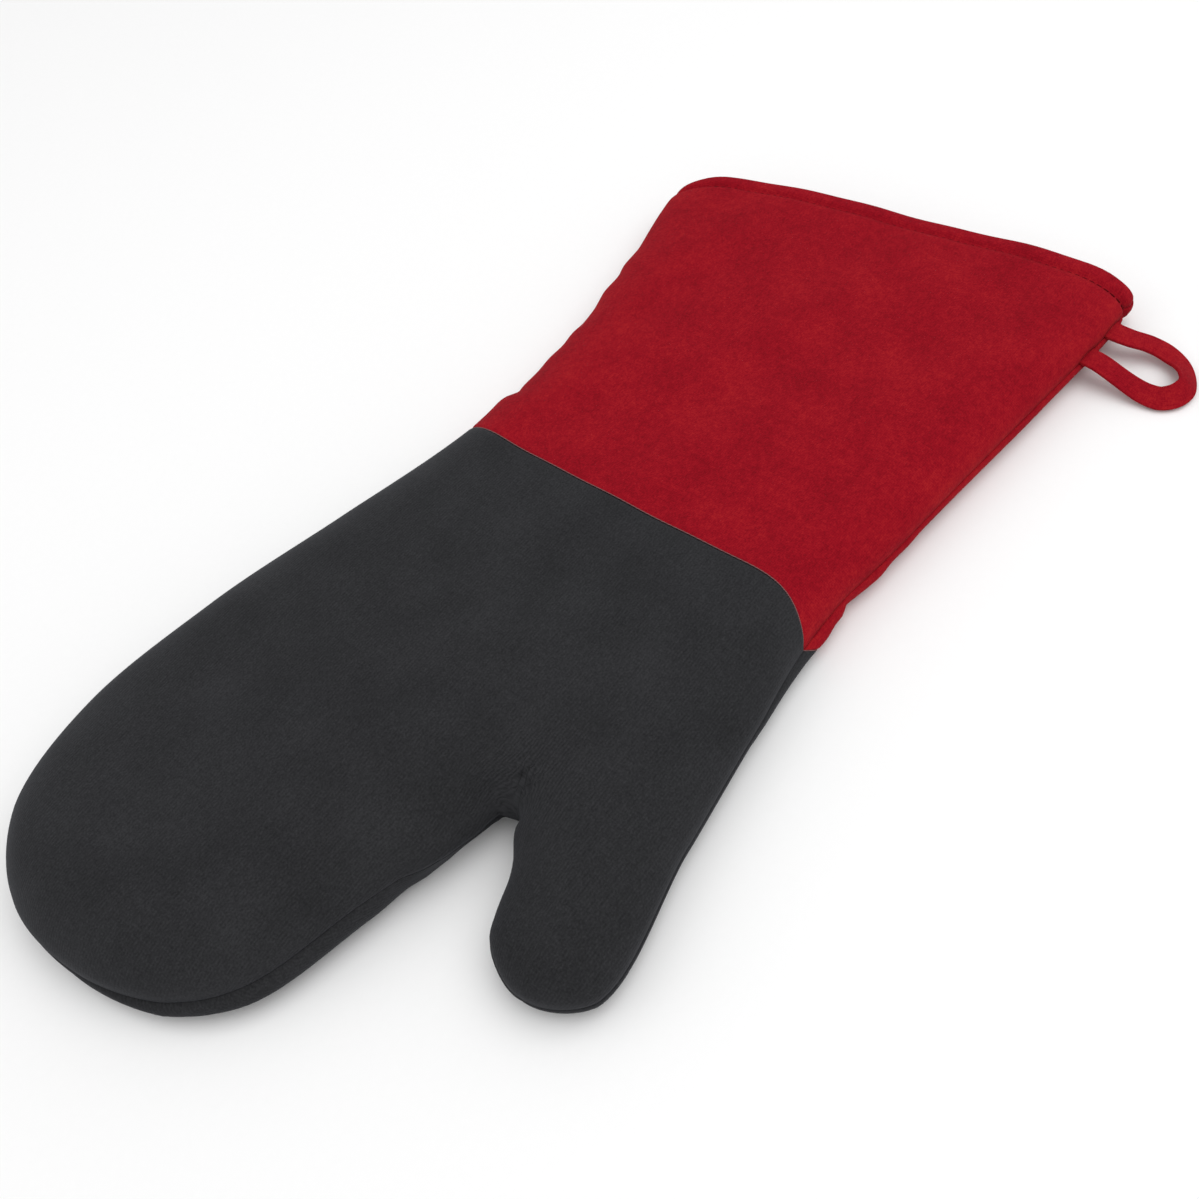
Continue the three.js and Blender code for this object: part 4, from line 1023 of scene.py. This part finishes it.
class MITT_OT_stage(bpy.types.Operator):
    """Makes the floor, the soft lights and the camera"""

    bl_idname = "mitt.stage"
    bl_label = "Stage"

    def execute(self, context):
        _, colours = settings(context)
        scene = context.scene
        self.make_floor(floor_finish(colours))
        self.make_lights(scene)
        self.make_camera(scene)
        scene.view_settings.view_transform = "Standard"
        return {"FINISHED"}

    def make_floor(self, material):
        half = 3.0
        mesh = bpy.data.meshes.new("floor")
        corners = [(-half, -half, 0), (half, -half, 0), (half, half, 0), (-half, half, 0)]
        mesh.from_pydata(corners, [], [(0, 1, 2, 3)])
        mesh.transform(Matrix.Translation((0, 0, -0.2 * MM)))
        mesh.materials.append(material)
        floor = bpy.data.objects.new("floor", mesh)
        bpy.context.scene.collection.objects.link(floor)

    def make_lights(self, scene):
        world = bpy.data.worlds.new("studio")
        world.use_nodes = True
        world.node_tree.nodes["Background"].inputs["Color"].default_value = (1, 1, 1, 1)
        world.node_tree.nodes["Background"].inputs["Strength"].default_value = 0.75
        scene.world = world
        for name, place, size, power in (("softbox", (0.35, -0.5, 1.4), 1.6, 10.6),
                                         ("fill", (-0.7, 0.9, 1.0), 1.2, 2.0)):
            light = bpy.data.lights.new(name, "AREA")
            light.size = size
            light.energy = power
            lamp = bpy.data.objects.new(name, light)
            lamp.location = place
            lamp.rotation_euler = (-lamp.location).to_track_quat("-Z", "Y").to_euler()
            scene.collection.objects.link(lamp)

    def make_camera(self, scene):
        """Looks down at the mitt from beside the fingertips, turned a little about its own line."""
        azimuth, elevation, roll = (math.radians(angle) for angle in (-40.36, 51, -15))
        target = np.array([-10.65, -0.43, 12]) * MM
        distance = 507.4 * MM
        back = np.array([math.sin(azimuth) * math.cos(elevation),
                         -math.cos(azimuth) * math.cos(elevation), math.sin(elevation)])
        right = np.array([math.cos(azimuth), math.sin(azimuth), 0])
        up = np.cross(back, right)
        turned_right = math.cos(roll) * right + math.sin(roll) * up
        turned_up = math.cos(roll) * up - math.sin(roll) * right
        place = Matrix(np.column_stack([turned_right, turned_up, back]).tolist()).to_4x4()
        place.translation = target + back * distance
        camera = bpy.data.objects.new("camera", bpy.data.cameras.new("camera"))
        camera.data.lens = 42.04
        camera.data.sensor_width = 36
        camera.data.clip_start = 0.01
        camera.matrix_world = place
        scene.collection.objects.link(camera)
        scene.camera = camera


class MITT_OT_hand_shells(bpy.types.Operator):
    """Makes the two knitted shells of the hand"""

    bl_idname = "mitt.hand_shells"
    bl_label = "Hand shells"

    def execute(self, context):
        sizes, colours = settings(context)
        material = knit_finish(colours)
        outer, inner = (shell_sheet(thickness) for thickness in (0, HAND_SHELL))
        for side, is_top in (("top", True), ("bottom", False)):
            shell = layer_piece(f"hand_{side}", outer, inner, is_top, sizes, material)
            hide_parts(f"hand_shell_{side}")
            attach(shell, "mitt")
        return {"FINISHED"}


class MITT_OT_cuff(bpy.types.Operator):
    """Makes the two sides of the cuff with their turned hem"""

    bl_idname = "mitt.cuff"
    bl_label = "Cuff"

    def execute(self, context):
        sizes, colours = settings(context)
        material = cloth_finish(colours)
        outer, inner = (cuff_sheet(thickness, sizes) for thickness in (0, CUFF_CLOTH))
        for side, is_top in (("top", True), ("bottom", False)):
            panel = layer_piece(f"cuff_{side}", outer, inner, is_top, sizes, material)
            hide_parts(f"cuff_panel_{side}")
            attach(panel, "mitt")
        return {"FINISHED"}


class MITT_OT_filling(bpy.types.Operator):
    """Makes the wadding and the lining of both sides"""

    bl_idname = "mitt.filling"
    bl_label = "Wadding and lining"

    def execute(self, context):
        sizes, colours = settings(context)
        for layer, material in (("wadding", wadding_finish(colours)), ("lining", lining_finish(colours))):
            outer, inner = (full_sheet(f"{layer}_{face}", sizes) for face in ("outer", "inner"))
            for side, is_top in (("top", True), ("bottom", False)):
                piece = layer_piece(f"{layer}_sheet_{side}", outer, inner, is_top, sizes, material)
                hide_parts(f"{layer}_{side}")
                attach(piece, "mitt")
        return {"FINISHED"}


class MITT_OT_threads(bpy.types.Operator):
    """Makes the hem's stitches, the join's thread and the threads inside the side seams"""

    bl_idname = "mitt.threads"
    bl_label = "Threads"

    def execute(self, context):
        sizes, colours = settings(context)
        # The hem's thread is the cuff's red at half brightness: a real thread, darkened as painted shade so
        # the sunk stitch line reads as a dark groove.
        red = thread_finish("red_thread", shaded(colours.cuff, 0.5))
        dark = thread_finish("dark_thread", colours.knit)
        self.sew_hem(sizes, red)
        self.lay_join_thread(sizes, thread_finish("join_thread_highlight", colours.join_thread_highlight))
        for node, start, end, cloth, material in (
                ("hand_seam_thread", "joinFinger", "joinThumb", HAND_SHELL, dark),
                ("cuff_seam_thread_finger_side", "openingFinger", "joinFinger", CUFF_CLOTH, red),
                ("cuff_seam_thread_thumb_side", "joinThumb", "openingThumb", CUFF_CLOTH, red)):
            points, faces = seam_cord(start, end, cloth)
            cord = new_piece(node.replace("thread", "cord"), points, faces, material)
            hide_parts(node)
            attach(cord, "mitt")
        return {"FINISHED"}

    def sew_hem(self, sizes, material):
        line, out = cuff_ring(sizes.hem_line, sizes.hem_dip + 0.2 * MM, sizes)
        points, faces = row_of_stitches(line, out, sizes.stitch_pitch, sizes.stitch_pitch * 0.8, 0.32 * MM)
        stitches = new_piece("hem_stitches", points, faces, material)
        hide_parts("hem_topstitch")
        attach(stitches, "mitt")

    def lay_join_thread(self, sizes, material):
        # The thread's pale colour paints the highlight along the join seam.
        line, out = cuff_ring(CUFF_LENGTH - 1 * MM, 0.35 * MM, sizes)
        line[:, 0] -= 1 * MM
        points, faces = round_cord(line, out, 0.2 * MM, True)
        thread = new_piece("join_thread_highlight", points, faces, material)
        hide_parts("join_seam_thread")
        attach(thread, "mitt")


class MITT_OT_loop(bpy.types.Operator):
    """Makes the hanging loop's tape with both its sewn-in ends"""

    bl_idname = "mitt.loop"
    bl_label = "Hanging loop"

    def execute(self, context):
        sizes, colours = settings(context)
        rings, cloth = tape_rings(sizes)
        points, faces = swept(rings, False)
        tape = new_piece("loop_tape", points, faces, cloth_finish(colours, "loop_cloth"), cloth)
        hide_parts("hanging_loop", "loop_end_front", "loop_end_back")
        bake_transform(tape)
        return {"FINISHED"}


OPERATORS = (MITT_OT_stage, MITT_OT_hand_shells, MITT_OT_cuff, MITT_OT_filling, MITT_OT_threads, MITT_OT_loop)


class MITT_PT_panel(bpy.types.Panel):
    """Lists the pieces of the mitt in the sidebar"""

    bl_label = "Oven Mitt"
    bl_space_type = "VIEW_3D"
    bl_region_type = "UI"
    bl_category = "Oven Mitt"

    def draw(self, context):
        for group in settings(context):
            for name in group.__annotations__:
                self.layout.prop(group, name)
        for operator in OPERATORS:
            self.layout.operator(operator.bl_idname)


CLASSES = (MittSizes, MittColours, *OPERATORS, MITT_PT_panel)


def register():
    for made in CLASSES:
        bpy.utils.register_class(made)
    bpy.types.Scene.mitt_sizes = PointerProperty(type=MittSizes)
    bpy.types.Scene.mitt_colours = PointerProperty(type=MittColours)


def unregister():
    del bpy.types.Scene.mitt_colours
    del bpy.types.Scene.mitt_sizes
    for made in reversed(CLASSES):
        bpy.utils.unregister_class(made)


def main():
    register()
    bpy.ops.mitt.stage()
    bpy.ops.mitt.hand_shells()
    bpy.ops.mitt.cuff()
    bpy.ops.mitt.filling()
    bpy.ops.mitt.threads()
    bpy.ops.mitt.loop()
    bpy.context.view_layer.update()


if __name__ == "__main__":
    main()
